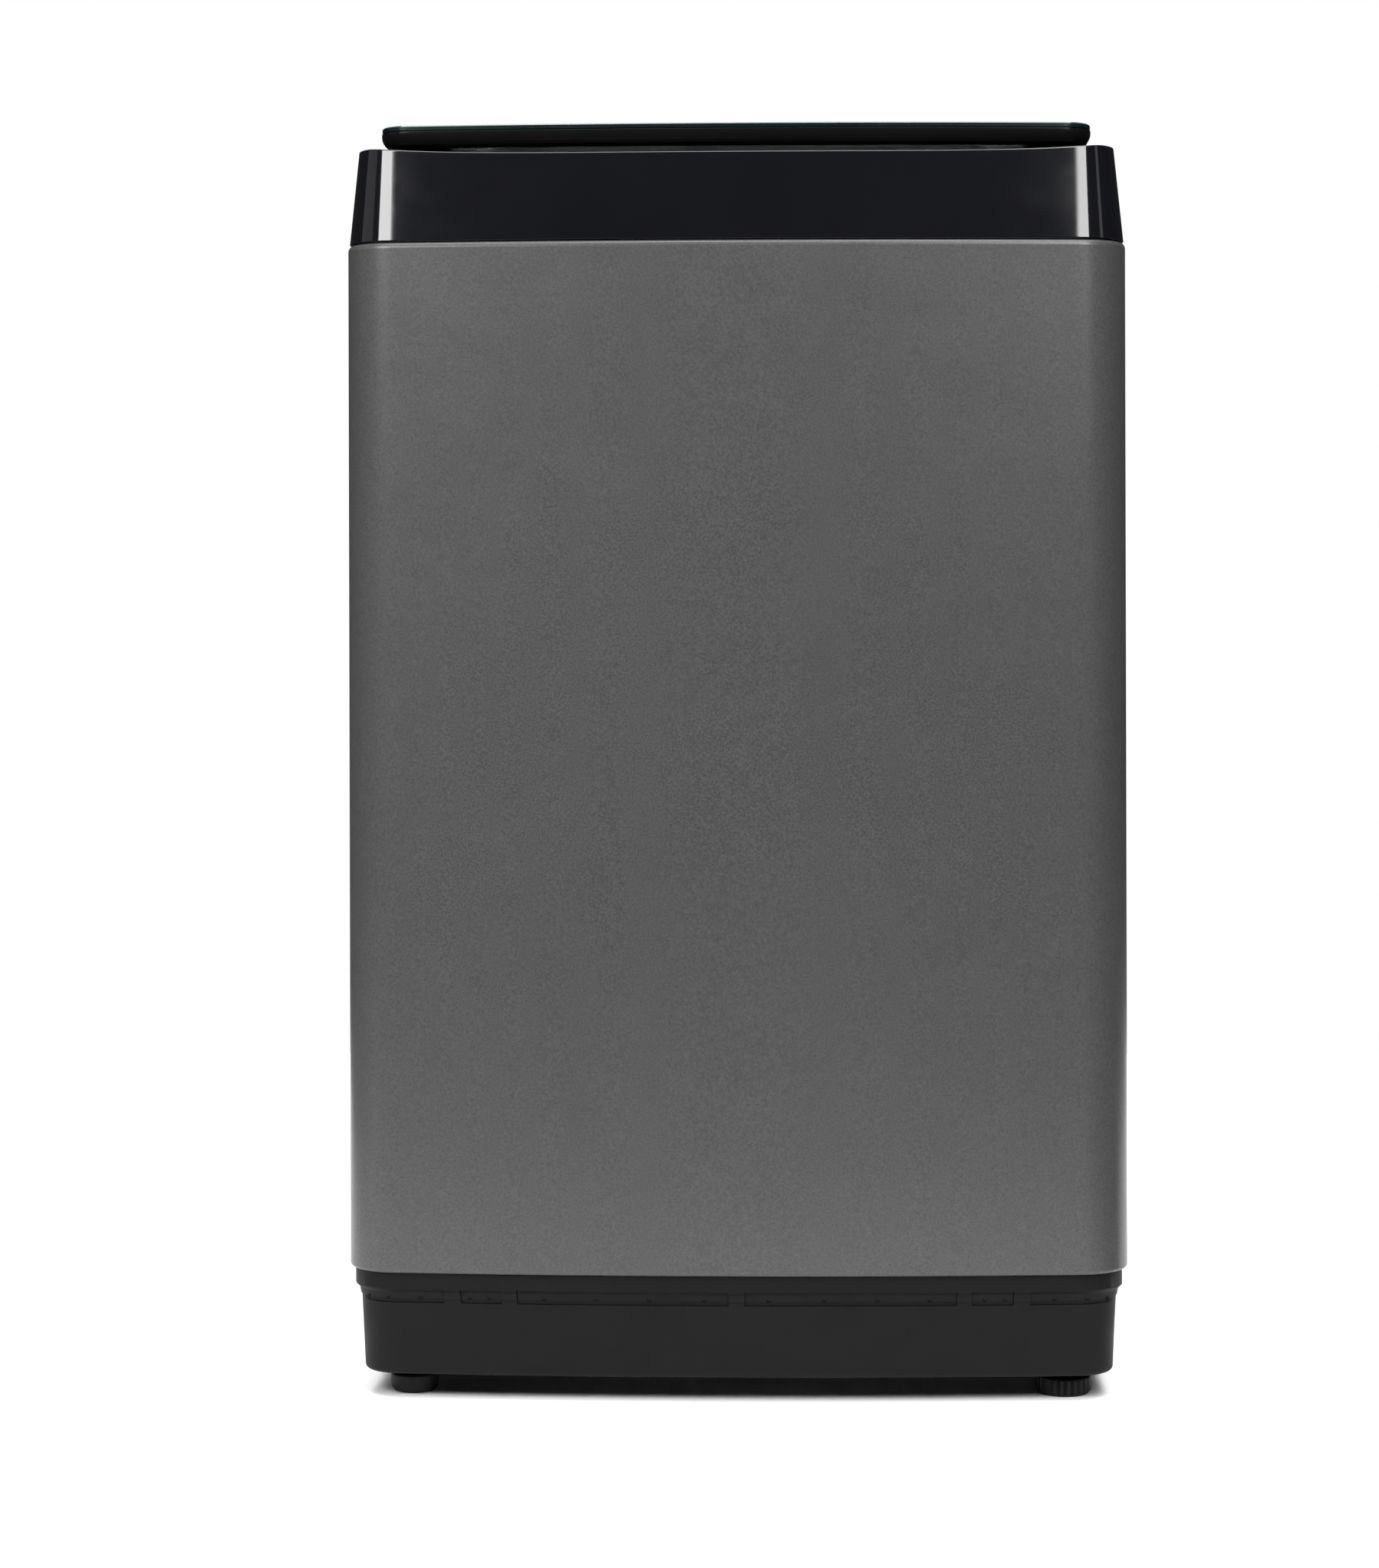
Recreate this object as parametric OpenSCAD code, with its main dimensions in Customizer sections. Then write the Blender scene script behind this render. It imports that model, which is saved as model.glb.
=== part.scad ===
// Top load washing machine: painted steel cabinet on a plastic base, gloss top cover with a glass lid,
// a rear console, and a tub hung on four sprung rods with a direct drive motor under it.
// Millimetres. +Z is up, the front faces -Y, and the origin is on the floor under the machine's middle.

/* [Cabinet] */
// Width over the painted cabinet
cabinet_w = 590; // [584:2:600]
// Radius of the vertical front corners
front_corner_r = 40; // [34:1:44]
// Thickness of the cabinet's steel sheet
sheet_t = 1; // [0.8:0.1:1.4]
// Height of the cabinet's lower edge above the floor
cabinet_bottom_z = 97; // [94:1:98]
// Height of the cabinet's upper edge above the floor
cabinet_top_z = 871; // [870:1:872]

/* [Base] */
// Height of the base skirt's lower edge above the floor
base_bottom_z = 19; // [17:1:20]
// Half the distance between the left and right feet
foot_x = 247; // [244:1:250]
// Radius of a fixed foot
foot_r = 18; // [16:1:19]
// Radius of the levelling foot
levelling_foot_r = 20.5; // [19:0.5:21]

/* [Lid] */
// Width of the lid
lid_w = 538; // [532:2:538]
// Height of the lid's upper face above the floor
lid_top_z = 960; // [959.5:0.1:960.5]
// Thickness of the lid's glass
glass_t = 4.4; // [4:0.1:4.4]
// Radius of each hinge pin
hinge_pin_r = 3; // [2.5:0.5:3]

/* [Console] */
// Slope of the control panel
console_slope = 11; // [10:0.5:12]
// Stroke of a push button
button_stroke = 1.2; // [0.8:0.1:1.4]

/* [Drum] */
// Outer radius of the steel basket
basket_r = 244; // [243:0.5:244]
// Radius of the pulsator
pulsator_r = 166; // [156:1:168]
// Number of vanes on the pulsator
vane_count = 6; // [3:1:7]

/* [Suspension] */
// Radius of a suspension rod
rod_r = 4; // [3.5:0.5:4]
// Turns in each suspension spring
spring_turns = 8; // [6:1:9]

/* [Motor] */
// Number of wound poles on the stator
stator_poles = 24; // [12:2:30]

/* [Hidden] */
$fn = 64;

// Plan of the cabinet: half width, front y, rear y, front corner radius, rear corner radius, bow radius
bow_r = 3300;
front_y = -305;
rear_y = 285;
cabinet_plan = [cabinet_w / 2, front_y, rear_y, front_corner_r, 8, bow_r];

// Plans of the loading mouth and of the lid, in the same form
mouth_plan = [214, -262, 88, 120, 40, 1200];
lid_rear_y = 128.5;
lid_plan = [lid_w / 2, -290, lid_rear_y, 24, 10, bow_r];

// Levels of the top cover and lid
rim_z = 942.6;
deck_z = 937.5;
deck_t = 3.2;
rim_dip = 5;
mouth_dip = 3;
dip_x = 276;
dip_start_y = -200;
dip_run = 50;
lid_bottom_z = 943.5;
glass_z = lid_top_z - glass_t;

// Lid hinge
hinge_y = 119;
hinge_z = 950.2;
ear_x = lid_w / 2 + 1.5;
ear_t = 8;
ear_r = 9;
damper_r = 4.4;
damper_l = 26;
run_gap = 0.05;
lid_frame_w = 46;
sensor_x = 231;

// Console
console_x = 278.5;
console_front_y = 135;
console_rear_y = 268.5;
console_front_z = 962;
console_corner_r = 14;
console_wall = 2.5;
panel_t = 3;
console_top_z = 1020;

// Buttons: [x across the panel, distance up the slope]
button_w = 26;
button_d = 13;
button_gap = 0.5;
button_h = 8;
button_v = 50;
power_at = [-236, button_v];
program_at = [-176, button_v];
level_at = [-132, button_v];
rinse_at = [-88, button_v];
spin_at = [-44, button_v];
start_at = [236, button_v];
button_places = [power_at, program_at, level_at, rinse_at, spin_at, start_at];
window_x = 96;
window_w = 150;
window_d = 44;
switch_z = -button_h - 2 - button_stroke - 0.3;

// Tub axis and levels
tub_y = -10;
tub_floor_z = 240;
tub_rim_z = 800;
basket_bottom_z = 287;
basket_top_z = 748;

// Shafts, from the motor up
spin_shaft_r = 15;
wash_shaft_r = 8;
rotor_z = 144;
rotor_r = 120;
stator_r = 109;
coupler_z = 156;
pulsator_z = basket_bottom_z - 2;

// Cabinet flanges, the opening behind, and the rear panel with its raised field
flange_w = 12;
rear_opening_x = 276;
panel_x = 288;
panel_z0 = 104;
panel_z1 = 866;
field_x = 262;
field_z0 = 170;
field_z1 = 836;
field_h = 5;
screw_xs = [-281, 281];
screw_zs = [130, 340, 550, 760, 856];

// Base skirt: insets from the cabinet's outline, and the pockets under its lip
base_lip_inset = 4;
skirt_top_inset = 7.8;
skirt_bottom_inset = 11.3;
skirt_t = 3;
lip_h = 13;
pocket_z0 = 73.5;
pocket_z1 = 81;
// Start and end of each pocket, measured along x from the middle
front_pockets = [[6, 165], [176, 207.5], [220, 300]];

// Funnel under the loading mouth
funnel_top_z = deck_z - 5;
funnel_bottom_z = 838;

// Suspension
rod_x = 250;
bracket_t = 3;
rod_dy = 240;
bracket_z = 846;
rod_bottom_z = 198;
lug_z = 330;
lug_t = 16;
cup_z = 305;
spring_seat_z = 211;
spring_r = 12.5;
wire_r = 2;
lug_angle = atan2(rod_dy, rod_x);
lug_l = norm([rod_x, rod_dy]);
lug_root = 258;
corners = [for (sx = [-1, 1], sy = [-1, 1]) [sx * rod_x, tub_y + sy * rod_dy]];

// Drain
valve_x = -185;
valve_z = 190;
valve_y = -130;
plunger_y = valve_y + 2;
elbow_x = -215;
elbow_z = 134;
elbow_neck_r = 17;
elbow_spigot_r = 14;
elbow_tip_y = 303;
// Route of the hose from the drain valve to the rear elbow
drain_route = [
  [valve_x, valve_y, 150], [valve_x, valve_y, 142], [valve_x - 2, valve_y + 5, 130],
  [valve_x - 5, valve_y + 16, 121], [valve_x - 9, valve_y + 32, 118], [-200, -70, 117],
  [-206, -30, 117], [-211, 20, 118], [-214, 70, 120], [elbow_x, 120, 124], [elbow_x, 165, 129],
  [elbow_x, 205, 133], [elbow_x, 238, elbow_z], [elbow_x, rear_y - 20, elbow_z]
];

// Feet
foot_front_y = -250;
foot_rear_y = 235;
fixed_foot_places = [[-foot_x, foot_front_y], [-foot_x, foot_rear_y], [foot_x, foot_rear_y]];
levelling_place = [foot_x, foot_front_y];
stem_r = 5;
boss_z = 28;
boss_h = 34;
boss_rib_inset = 12;
// How far the bowed front has fallen back at the feet
foot_sag = bow_r - sqrt(bow_r * bow_r - foot_x * foot_x);
foot_rib_count = 24;
foot_pad_h = 14;

// Detergent drawer
drawer_x0 = -175;
drawer_x1 = -55;
drawer_z0 = 862;
drawer_z1 = 922;
housing_front_y = 87;
housing_rear_y = 240;

// Water inlet
inlet_x = -150;
inlet_z = 962;
inlet_r = 13.2;
inlet_tip_y = 305;
hose_y = 226;
hose_r = 8;

// Mains cord gland
gland_x = 220;
gland_z = 800;
gland_neck_r = 8;
cord_bore_r = 4;

// Small shared sizes
cut = 1;
screw_r = 2;
screw_head_r = 4.5;

// ---------- Plans: the cabinet's outline, offset inwards by s ----------

function corner_r(r, s) = max(r - s, 1);

// Points of an arc about c, with both ends
function arc(c, r, a0, a1, n) = [
  for (i = [0:n]) let (a = a0 + (a1 - a0) * i / n) c + r * [cos(a), sin(a)]
];

// Angle from the bow's centre to the centre of a front corner
function bow_half_angle(p, s) = let (r = corner_r(p[3], s)) asin((p[0] - s - r) / (p[5] - s - r));

// A closed outline of a plan, anticlockwise from above, always with the same number of points
function outline(p, s) =
  let (
    rf = corner_r(p[3], s),
    rr = corner_r(p[4], s),
    half = bow_half_angle(p, s),
    bow_y = p[1] + p[5],
    front_cx = p[0] - s - rf,
    front_cy = bow_y - (p[5] - s - rf) * cos(half),
    rear_cx = p[0] - s - rr,
    rear_cy = p[2] - s - rr
  )
  concat(
    arc([0, bow_y], p[5] - s, -90 - half, -90 + half, 14),
    arc([front_cx, front_cy], rf, -90 + half + 10, 0, 7),
    arc([rear_cx, rear_cy], rr, 0, 90, 4),
    arc([-rear_cx, rear_cy], rr, 90, 180, 4),
    arc([-front_cx, front_cy], rf, 180, 260 - half, 7)
  );

// The same plan as an exact 2D shape
module plan_shape(p, s) {
  rf = corner_r(p[3], s);
  rr = corner_r(p[4], s);
  half = bow_half_angle(p, s);
  bow_y = p[1] + p[5];
  tangent_x = (p[5] - s) * sin(half);
  front_cx = p[0] - s - rf;
  front_cy = bow_y - (p[5] - s - rf) * cos(half);
  intersection() {
    translate([0, bow_y]) circle(r = p[5] - s, $fn = 256);
    translate([-tangent_x, p[1] - cut]) square([2 * tangent_x, front_cy - p[1] + cut]);
  }
  for (m = [-1, 1]) {
    translate([m * front_cx, front_cy]) circle(r = rf);
    translate([m * (p[0] - s - rr), p[2] - s - rr]) circle(r = rr);
  }
  translate([s - p[0], front_cy]) square([2 * (p[0] - s), p[2] - s - rr - front_cy]);
  translate([s + rr - p[0], front_cy]) square([2 * (p[0] - s - rr), p[2] - s - front_cy]);
}

// How far the top cover dips at a point: most along the middle of its front, nothing at its sides
function dip(q, amount) =
  amount * max(0, 1 - pow(abs(q[0]) / dip_x, 5)) * min(1, max(0, (dip_start_y - q[1]) / dip_run));

// A closed ring swept round a plan. Each profile entry is [inset, z, plan, dip], in order down the outside
// and up the inside, or from the underside to the top.
module ring(profile) {
  rings = [for (p = profile) [for (q = outline(p[2], p[0])) [q[0], q[1], p[1] - dip(q, p[3])]]];
  n = len(rings[0]);
  m = len(rings);
  polyhedron(
    points = [for (r = rings) each r],
    faces = [
      for (j = [0:m - 1], i = [0:n - 1])
        let (
          k = (i + 1) % n,
          low = j * n,
          high = (j + 1) % m * n
        )
        each [[low + i, low + k, high + k], [low + i, high + k, high + i]]
    ],
    convexity = 8
  );
}

// A round tube swept along points, with flat ends
module sweep_tube(path, r, sides) {
  n = len(path);
  function unit(v) = v / norm(v);
  function tangent(i) = unit(path[min(i + 1, n - 1)] - path[max(i - 1, 0)]);
  function across(t) = unit(cross(t, abs(t[2]) > 0.9 ? [0, 1, 0] : [0, 0, 1]));
  points = [
    for (i = [0:n - 1], k = [0:sides - 1])
      let (t = tangent(i), u = across(t), v = cross(t, u))
      path[i] + r * (cos(360 * k / sides) * u + sin(360 * k / sides) * v)
  ];
  sides_faces = [
    for (i = [0:n - 2], k = [0:sides - 1])
      let (a = i * sides + k, b = i * sides + (k + 1) % sides)
      each [[a, b + sides, b], [a, a + sides, b + sides]]
  ];
  start_face = [for (k = [0:sides - 1]) k];
  end_face = [for (k = [sides - 1:-1:0]) (n - 1) * sides + k];
  polyhedron(points = points, faces = concat(sides_faces, [start_face], [end_face]));
}

// A ring or disc turned about the tub's axis, from [r, z] points
module turned(points) {
  translate([0, tub_y, 0]) rotate_extrude($fn = 128) polygon(points);
}

module at_each(places) {
  for (p = places) translate([p[0], p[1], 0]) children();
}

module bored_cylinder(r_out, r_in, z0, z1) {
  translate([0, 0, z0]) difference() {
    cylinder(r = r_out, h = z1 - z0);
    translate([0, 0, -cut]) cylinder(r = r_in, h = z1 - z0 + 2 * cut);
  }
}

// A cylinder along X or Y from one coordinate to another
module cyl_x(x0, x1, y, z, r) {
  translate([x0, y, z]) rotate([0, 90, 0]) cylinder(r = r, h = x1 - x0);
}

module cyl_y(x, y0, y1, z, r) {
  translate([x, y0, z]) rotate([-90, 0, 0]) cylinder(r = r, h = y1 - y0);
}

module box(low, high) {
  translate(low) cube(high - low);
}

// ---------- Cabinet, base and feet ----------

module screw_places() {
  for (x = screw_xs, z = screw_zs) translate([x, rear_y, z]) rotate([-90, 0, 0]) children();
}

module cabinet() {
  color("dimgray") difference() {
    union() {
      translate([0, 0, cabinet_bottom_z]) linear_extrude(cabinet_top_z - cabinet_bottom_z) difference() {
        plan_shape(cabinet_plan, 0);
        plan_shape(cabinet_plan, sheet_t);
      }
      for (z = [cabinet_bottom_z, cabinet_top_z - sheet_t])
        translate([0, 0, z]) linear_extrude(sheet_t) difference() {
          plan_shape(cabinet_plan, sheet_t / 2);
          plan_shape(cabinet_plan, flange_w);
        }
    }
    box([-rear_opening_x, rear_y - sheet_t - 0.5, cabinet_bottom_z + flange_w],
        [rear_opening_x, rear_y + cut, cabinet_top_z - flange_w]);
    screw_places() translate([0, 0, -3]) cylinder(r = screw_r, h = 6);
  }
}

module rear_panel() {
  color("lightgray") difference() {
    union() {
      box([-panel_x, rear_y, panel_z0], [panel_x, rear_y + sheet_t, panel_z1]);
      box([-field_x, rear_y, field_z0], [field_x, rear_y + field_h, field_z1]);
      for (x = [-150, 0, 150]) cyl_panel_bead(x, 3 + field_h);
    }
    box([-field_x + sheet_t, rear_y - cut, field_z0 + sheet_t],
        [field_x - sheet_t, rear_y + field_h - sheet_t, field_z1 - sheet_t]);
    screw_places() translate([0, 0, -cut]) cylinder(r = screw_r, h = 4);
    cyl_y(gland_x, rear_y - cut, rear_y + 9, gland_z, gland_neck_r);
    cyl_y(elbow_x, rear_y - cut, rear_y + 9, elbow_z, elbow_neck_r);
  }
}

// A pressed upright bead that stands out of the rear panel's field
module cyl_panel_bead(x, h) {
  translate([x, rear_y + field_h - sheet_t, field_z0 + 40]) linear_extrude(field_z1 - field_z0 - 80)
    polygon([[-14, 0], [-8, h - field_h], [8, h - field_h], [14, 0]]);
}

module case_screws() {
  color("silver") screw_places() {
    translate([0, 0, -2.5]) cylinder(r = screw_r, h = 3.6);
    translate([0, 0, sheet_t]) cylinder(r1 = screw_head_r, r2 = screw_head_r - 1.2, h = 2.2);
  }
}

module base_skirt() {
  p = cabinet_plan;
  lip_z = cabinet_bottom_z - lip_h;
  cove_z = lip_z - 4;
  ring([
    [base_lip_inset, cabinet_bottom_z, p, 0],
    [base_lip_inset, lip_z, p, 0],
    [base_lip_inset + 0.8, lip_z - 1.6, p, 0],
    [skirt_top_inset - 1.2, cove_z + 1.4, p, 0],
    [skirt_top_inset, cove_z, p, 0],
    [skirt_bottom_inset - 0.4, base_bottom_z + 2, p, 0],
    [skirt_bottom_inset + 0.6, base_bottom_z, p, 0],
    [skirt_bottom_inset + skirt_t, base_bottom_z, p, 0],
    [skirt_top_inset + skirt_t + 1, cove_z - 2, p, 0],
    [skirt_top_inset + skirt_t + 4, cabinet_bottom_z - 6, p, 0],
    [32, cabinet_bottom_z - 4, p, 0],
    [32, cabinet_bottom_z, p, 0]
  ]);
}

// Shallow pockets under the lip, along the front and round its corners
module base_pockets() {
  intersection() {
    translate([0, 0, pocket_z0]) linear_extrude(pocket_z1 - pocket_z0) difference() {
      plan_shape(cabinet_plan, 2);
      plan_shape(cabinet_plan, skirt_top_inset + 1.8);
    }
    for (m = [0, 1]) mirror([m, 0, 0]) for (q = front_pockets)
      box([q[0], front_y - 5, pocket_z0], [q[1], front_y + front_corner_r + 20, pocket_z1]);
  }
}

module foot_bosses() {
  for (p = concat(fixed_foot_places, [levelling_place])) {
    sx = sign(p[0]);
    sy = sign(p[1]);
    wall_gap = sy > 0 ? rear_y - p[1] : p[1] - front_y - foot_sag;
    rib_x = [p[0] + sx * 14, sx * (cabinet_w / 2 - boss_rib_inset)];
    rib_y = [p[1] + sy * 14, p[1] + sy * (wall_gap - boss_rib_inset)];
    translate([p[0], p[1], 0]) bored_cylinder(16, stem_r + run_gap, boss_z, boss_z + boss_h);
    box([min(rib_x), p[1] - 3, boss_z + 12], [max(rib_x), p[1] + 3, boss_z + boss_h]);
    box([p[0] - 3, min(rib_y), boss_z + 12], [p[0] + 3, max(rib_y), boss_z + boss_h]);
  }
}

module base_frame() {
  color([0.13, 0.13, 0.14]) {
    difference() {
      base_skirt();
      base_pockets();
    }
    foot_bosses();
  }
}

module foot_pad(r) {
  rotate_extrude() polygon(concat(
    [[0, 0]],
    [for (a = [0:15:90]) [r - 5 + 5 * sin(a), 5 - 5 * cos(a)]],
    [[r, 13], [r - 2, 15], [0, 15]]
  ));
}

module fixed_feet() {
  color([0.08, 0.08, 0.08]) at_each(fixed_foot_places) {
    foot_pad(foot_r);
    translate([0, 0, 14]) cylinder(r = stem_r, h = 40);
    translate([0, 0, 14]) cylinder(r = 12, h = boss_z - 14);
  }
}

module levelling_foot() {
  color([0.08, 0.08, 0.08]) translate([levelling_place[0], levelling_place[1], 0]) {
    cylinder(r1 = levelling_foot_r - 3.5, r2 = levelling_foot_r - 1.5, h = 2);
    translate([0, 0, 2]) cylinder(r = levelling_foot_r - 1.5, h = foot_pad_h - 2);
    for (k = [0:foot_rib_count - 1]) rotate([0, 0, k * 360 / foot_rib_count])
      translate([levelling_foot_r - 2, -1, 2]) cube([2, 2, foot_pad_h - 3]);
    translate([0, 0, foot_pad_h - cut]) cylinder(r = stem_r, h = 52);
  }
}

module foot_lock_nut() {
  color("silver") translate([levelling_place[0], levelling_place[1], 0]) difference() {
    translate([0, 0, boss_z - 6]) cylinder(r = 10, h = 6, $fn = 6);
    translate([0, 0, boss_z - 7]) cylinder(r = stem_r + run_gap, h = 8);
  }
}

// ---------- Suspension ----------

module corner_brackets() {
  color("silver") for (p = corners) {
    sx = sign(p[0]);
    sy = sign(p[1]);
    wall_x = sx * (cabinet_w / 2 - sheet_t);
    wall_y = sy > 0 ? rear_y - sheet_t - 1 : p[1] - 34;
    difference() {
      intersection() {
        union() {
          box([min(p[0] - sx * 24, wall_x), min(p[1] - sy * 24, wall_y), bracket_z],
              [max(p[0] - sx * 24, wall_x), max(p[1] - sy * 24, wall_y), bracket_z + bracket_t]);
          box([min(wall_x, wall_x - sx * bracket_t), min(p[1] - sy * 24, p[1] + sy * 20), bracket_z - 40],
              [max(wall_x, wall_x - sx * bracket_t), max(p[1] - sy * 24, p[1] + sy * 20),
               bracket_z + bracket_t]);
        }
        translate([0, 0, bracket_z - 41]) linear_extrude(60) plan_shape(cabinet_plan, sheet_t);
      }
      translate([p[0], p[1], bracket_z - cut]) cylinder(r = 9, h = bracket_t + 2 * cut);
    }
  }
}

module rod_seats() {
  color("whitesmoke") at_each(corners) difference() {
    union() {
      translate([0, 0, bracket_z + bracket_t]) cylinder(r1 = 14, r2 = 9, h = 8);
      translate([0, 0, bracket_z - 4]) cylinder(r1 = 6, r2 = 8.8, h = 4 + bracket_t);
    }
    translate([0, 0, bracket_z - 6]) cylinder(r = rod_r, h = 20);
  }
}

module suspension_rods() {
  head_z = bracket_z + bracket_t + 8;
  color("silver") at_each(corners) {
    translate([0, 0, rod_bottom_z]) cylinder(r = rod_r, h = head_z - rod_bottom_z + 2);
    translate([0, 0, head_z]) cylinder(r1 = 7, r2 = 5, h = 5);
    translate([0, 0, rod_bottom_z + 6]) cylinder(r = 17, h = spring_seat_z - rod_bottom_z - 6);
    translate([0, 0, rod_bottom_z]) cylinder(r = 7, h = 6);
  }
}

module suspension_springs() {
  steps = 12;
  z0 = spring_seat_z + wire_r;
  rise = cup_z - spring_seat_z - 2 * wire_r;
  coil = [
    for (i = [0:spring_turns * steps]) let (a = i * 360 / steps)
      [spring_r * cos(a), spring_r * sin(a), z0 + rise * a / (360 * spring_turns)]
  ];
  color("gray") at_each(corners) sweep_tube(coil, wire_r, 6);
}

module damper_cups() {
  color("whitesmoke") at_each(corners) difference() {
    union() {
      translate([0, 0, cup_z]) cylinder(r = 17.5, h = 12);
      translate([0, 0, cup_z + 12]) cylinder(r1 = 17.5, r2 = 10, h = lug_z - cup_z - 12);
    }
    translate([0, 0, cup_z - cut]) cylinder(r = rod_r + 0.3, h = lug_z - cup_z + 2 * cut);
  }
}

// ---------- Top cover, funnel and console ----------

module top_cover() {
  c = cabinet_plan;
  m = mouth_plan;
  color([0.05, 0.05, 0.06]) difference() {
    ring([
      [4.2, cabinet_top_z, c, 0],
      [12, deck_z - deck_t - 2, c, rim_dip],
      [19, deck_z - deck_t, c, rim_dip],
      [-5, deck_z - deck_t, m, mouth_dip],
      [-1.4, deck_z - 5, m, 0],
      [0, deck_z - 5, m, 0],
      [0, deck_z - 2.6, m, 0],
      [-1.4, deck_z - 0.8, m, 0],
      [-5, deck_z, m, mouth_dip],
      [16, deck_z, c, rim_dip],
      [13.4, deck_z + 0.3, c, rim_dip],
      [12.6, rim_z - 0.6, c, rim_dip],
      [11.8, rim_z - 0.1, c, rim_dip],
      [10, rim_z, c, rim_dip],
      [9.2, rim_z - 0.3, c, rim_dip],
      [8.7, rim_z - 1, c, rim_dip],
      [8.4, rim_z - 2.6, c, rim_dip],
      [1.1, cabinet_top_z, c, 0]
    ]);
    translate([inlet_x, hose_y, deck_z - 10]) cylinder(r = hose_r + 2, h = 20);
  }
}

module mouth_funnel() {
  m = mouth_plan;
  color("gainsboro") difference() {
    ring([
      [1.8, funnel_top_z - 8, m, 0],
      [7, funnel_bottom_z + 1, m, 0],
      [8.5, funnel_bottom_z, m, 0],
      [9.5, funnel_bottom_z + 2, m, 0],
      [4.5, funnel_top_z - 6, m, 0],
      [1.6, funnel_top_z, m, 0],
      [-1.4, funnel_top_z, m, 0]
    ]);
    box([drawer_x0 - 4, 60, drawer_z0 - 3], [drawer_x1 + 4, 95, drawer_z1 + 3]);
  }
}

module console_plan(s) {
  r = console_corner_r - s;
  for (sx = [-1, 1], y = [console_front_y + console_corner_r, console_rear_y - console_corner_r])
    translate([sx * (console_x - console_corner_r), y]) circle(r = r);
  translate([s - console_x, console_front_y + console_corner_r])
    square([2 * (console_x - s), console_rear_y - console_front_y - 2 * console_corner_r]);
  translate([console_corner_r - console_x, console_front_y + s])
    square([2 * (console_x - console_corner_r), console_rear_y - console_front_y - 2 * s]);
}

// Places children in the control panel's own frame: x across, y up the slope, z out of it
module on_panel() {
  translate([0, console_front_y, console_front_z]) rotate([console_slope, 0, 0]) children();
}

module below_panel(depth) {
  on_panel() translate([-400, -200, -300 - depth]) cube([800, 500, 300]);
}

module hinge_ear(sx) {
  x0 = min(sx * ear_x, sx * (ear_x + ear_t));
  x1 = x0 + ear_t;
  difference() {
    union() {
      cyl_x(x0, x1, hinge_y, hinge_z, ear_r);
      box([x0, hinge_y, hinge_z - ear_r], [x1, console_front_y + console_corner_r, hinge_z + ear_r]);
    }
    cyl_x(x0 - cut, x1 + cut, hinge_y, hinge_z, hinge_pin_r);
  }
}

module console_housing() {
  color([0.05, 0.05, 0.06]) difference() {
    union() {
      intersection() {
        translate([0, 0, deck_z]) linear_extrude(console_top_z - deck_z) console_plan(0);
        below_panel(panel_t);
      }
      hinge_ear(-1);
      hinge_ear(1);
    }
    translate([0, 0, deck_z - cut]) linear_extrude(console_top_z - deck_z) console_plan(console_wall);
    cyl_y(inlet_x, console_rear_y - 10, console_rear_y + 10, inlet_z, 15);
  }
}

module pill(w, d) {
  for (m = [-1, 1]) translate([m * (w - d) / 2, 0]) circle(d = d);
  square([w - d, d], center = true);
}

module window_shape(s) {
  r = 6;
  w = window_w / 2 - r;
  d = window_d / 2 - r;
  for (sx = [-1, 1], sy = [-1, 1]) translate([sx * w, sy * d]) circle(r = r - s);
  square([2 * w, 2 * (d + r - s)], center = true);
  square([2 * (w + r - s), 2 * d], center = true);
}

module console_panel() {
  color([0.03, 0.03, 0.04]) difference() {
    intersection() {
      translate([0, 0, deck_z]) linear_extrude(console_top_z - deck_z) console_plan(0);
      on_panel() translate([-400, -200, -panel_t]) cube([800, 500, panel_t]);
    }
    on_panel() {
      for (p = button_places) translate([p[0], p[1], -5]) linear_extrude(10)
        pill(button_w + 2 * button_gap, button_d + 2 * button_gap);
      translate([window_x, button_v, -5]) linear_extrude(10) window_shape(0);
    }
  }
}

module display_window() {
  color([0.1, 0.1, 0.12, 0.6]) on_panel() translate([window_x, button_v, -panel_t]) {
    linear_extrude(panel_t) window_shape(0.2);
    translate([0, 0, -1.5]) linear_extrude(1.5) window_shape(-4);
  }
}

module button(place) {
  color("gray") on_panel() translate([place[0], place[1], -button_h]) {
    linear_extrude(button_h + 1.4) pill(button_w, button_d);
    translate([0, 0, -2]) cylinder(r = 2.5, h = 2.5);
  }
}

module control_board() {
  color("darkgreen") on_panel() {
    translate([-258, button_v - 26, switch_z - 5.6]) cube([516, 52, 1.6]);
    for (p = button_places) translate([p[0] - 3, p[1] - 3, switch_z - 4]) cube([6, 6, 4]);
    translate([window_x - window_w / 2 + 8, button_v - 16, switch_z - 4]) cube([window_w - 16, 32, 10]);
  }
}

// ---------- Water, detergent and sensors ----------

module inlet_valve() {
  color("whitesmoke") difference() {
    union() {
      cyl_y(inlet_x, 281, inlet_tip_y, inlet_z, inlet_r);
      cyl_y(inlet_x, console_rear_y, 281, inlet_z, 17);
      cyl_y(inlet_x, 238, console_rear_y, inlet_z, 12);
      box([inlet_x - 17, 214, inlet_z - 13], [inlet_x + 17, 260, inlet_z + 4]);
      translate([inlet_x, hose_y, deck_z + 2]) cylinder(r = hose_r, h = 15);
    }
    cyl_y(inlet_x, 262, inlet_tip_y + cut, inlet_z, 8.5);
    translate([inlet_x, hose_y, deck_z]) cylinder(r = hose_r - 2, h = 20);
  }
  color("royalblue") box([inlet_x + 16, 216, inlet_z - 14], [inlet_x + 50, 256, inlet_z + 2]);
}

module inlet_duct() {
  color("dimgray") translate([inlet_x, hose_y, 0])
    bored_cylinder(hose_r, hose_r - 2, deck_z - deck_t, deck_z + 2);
}

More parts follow.
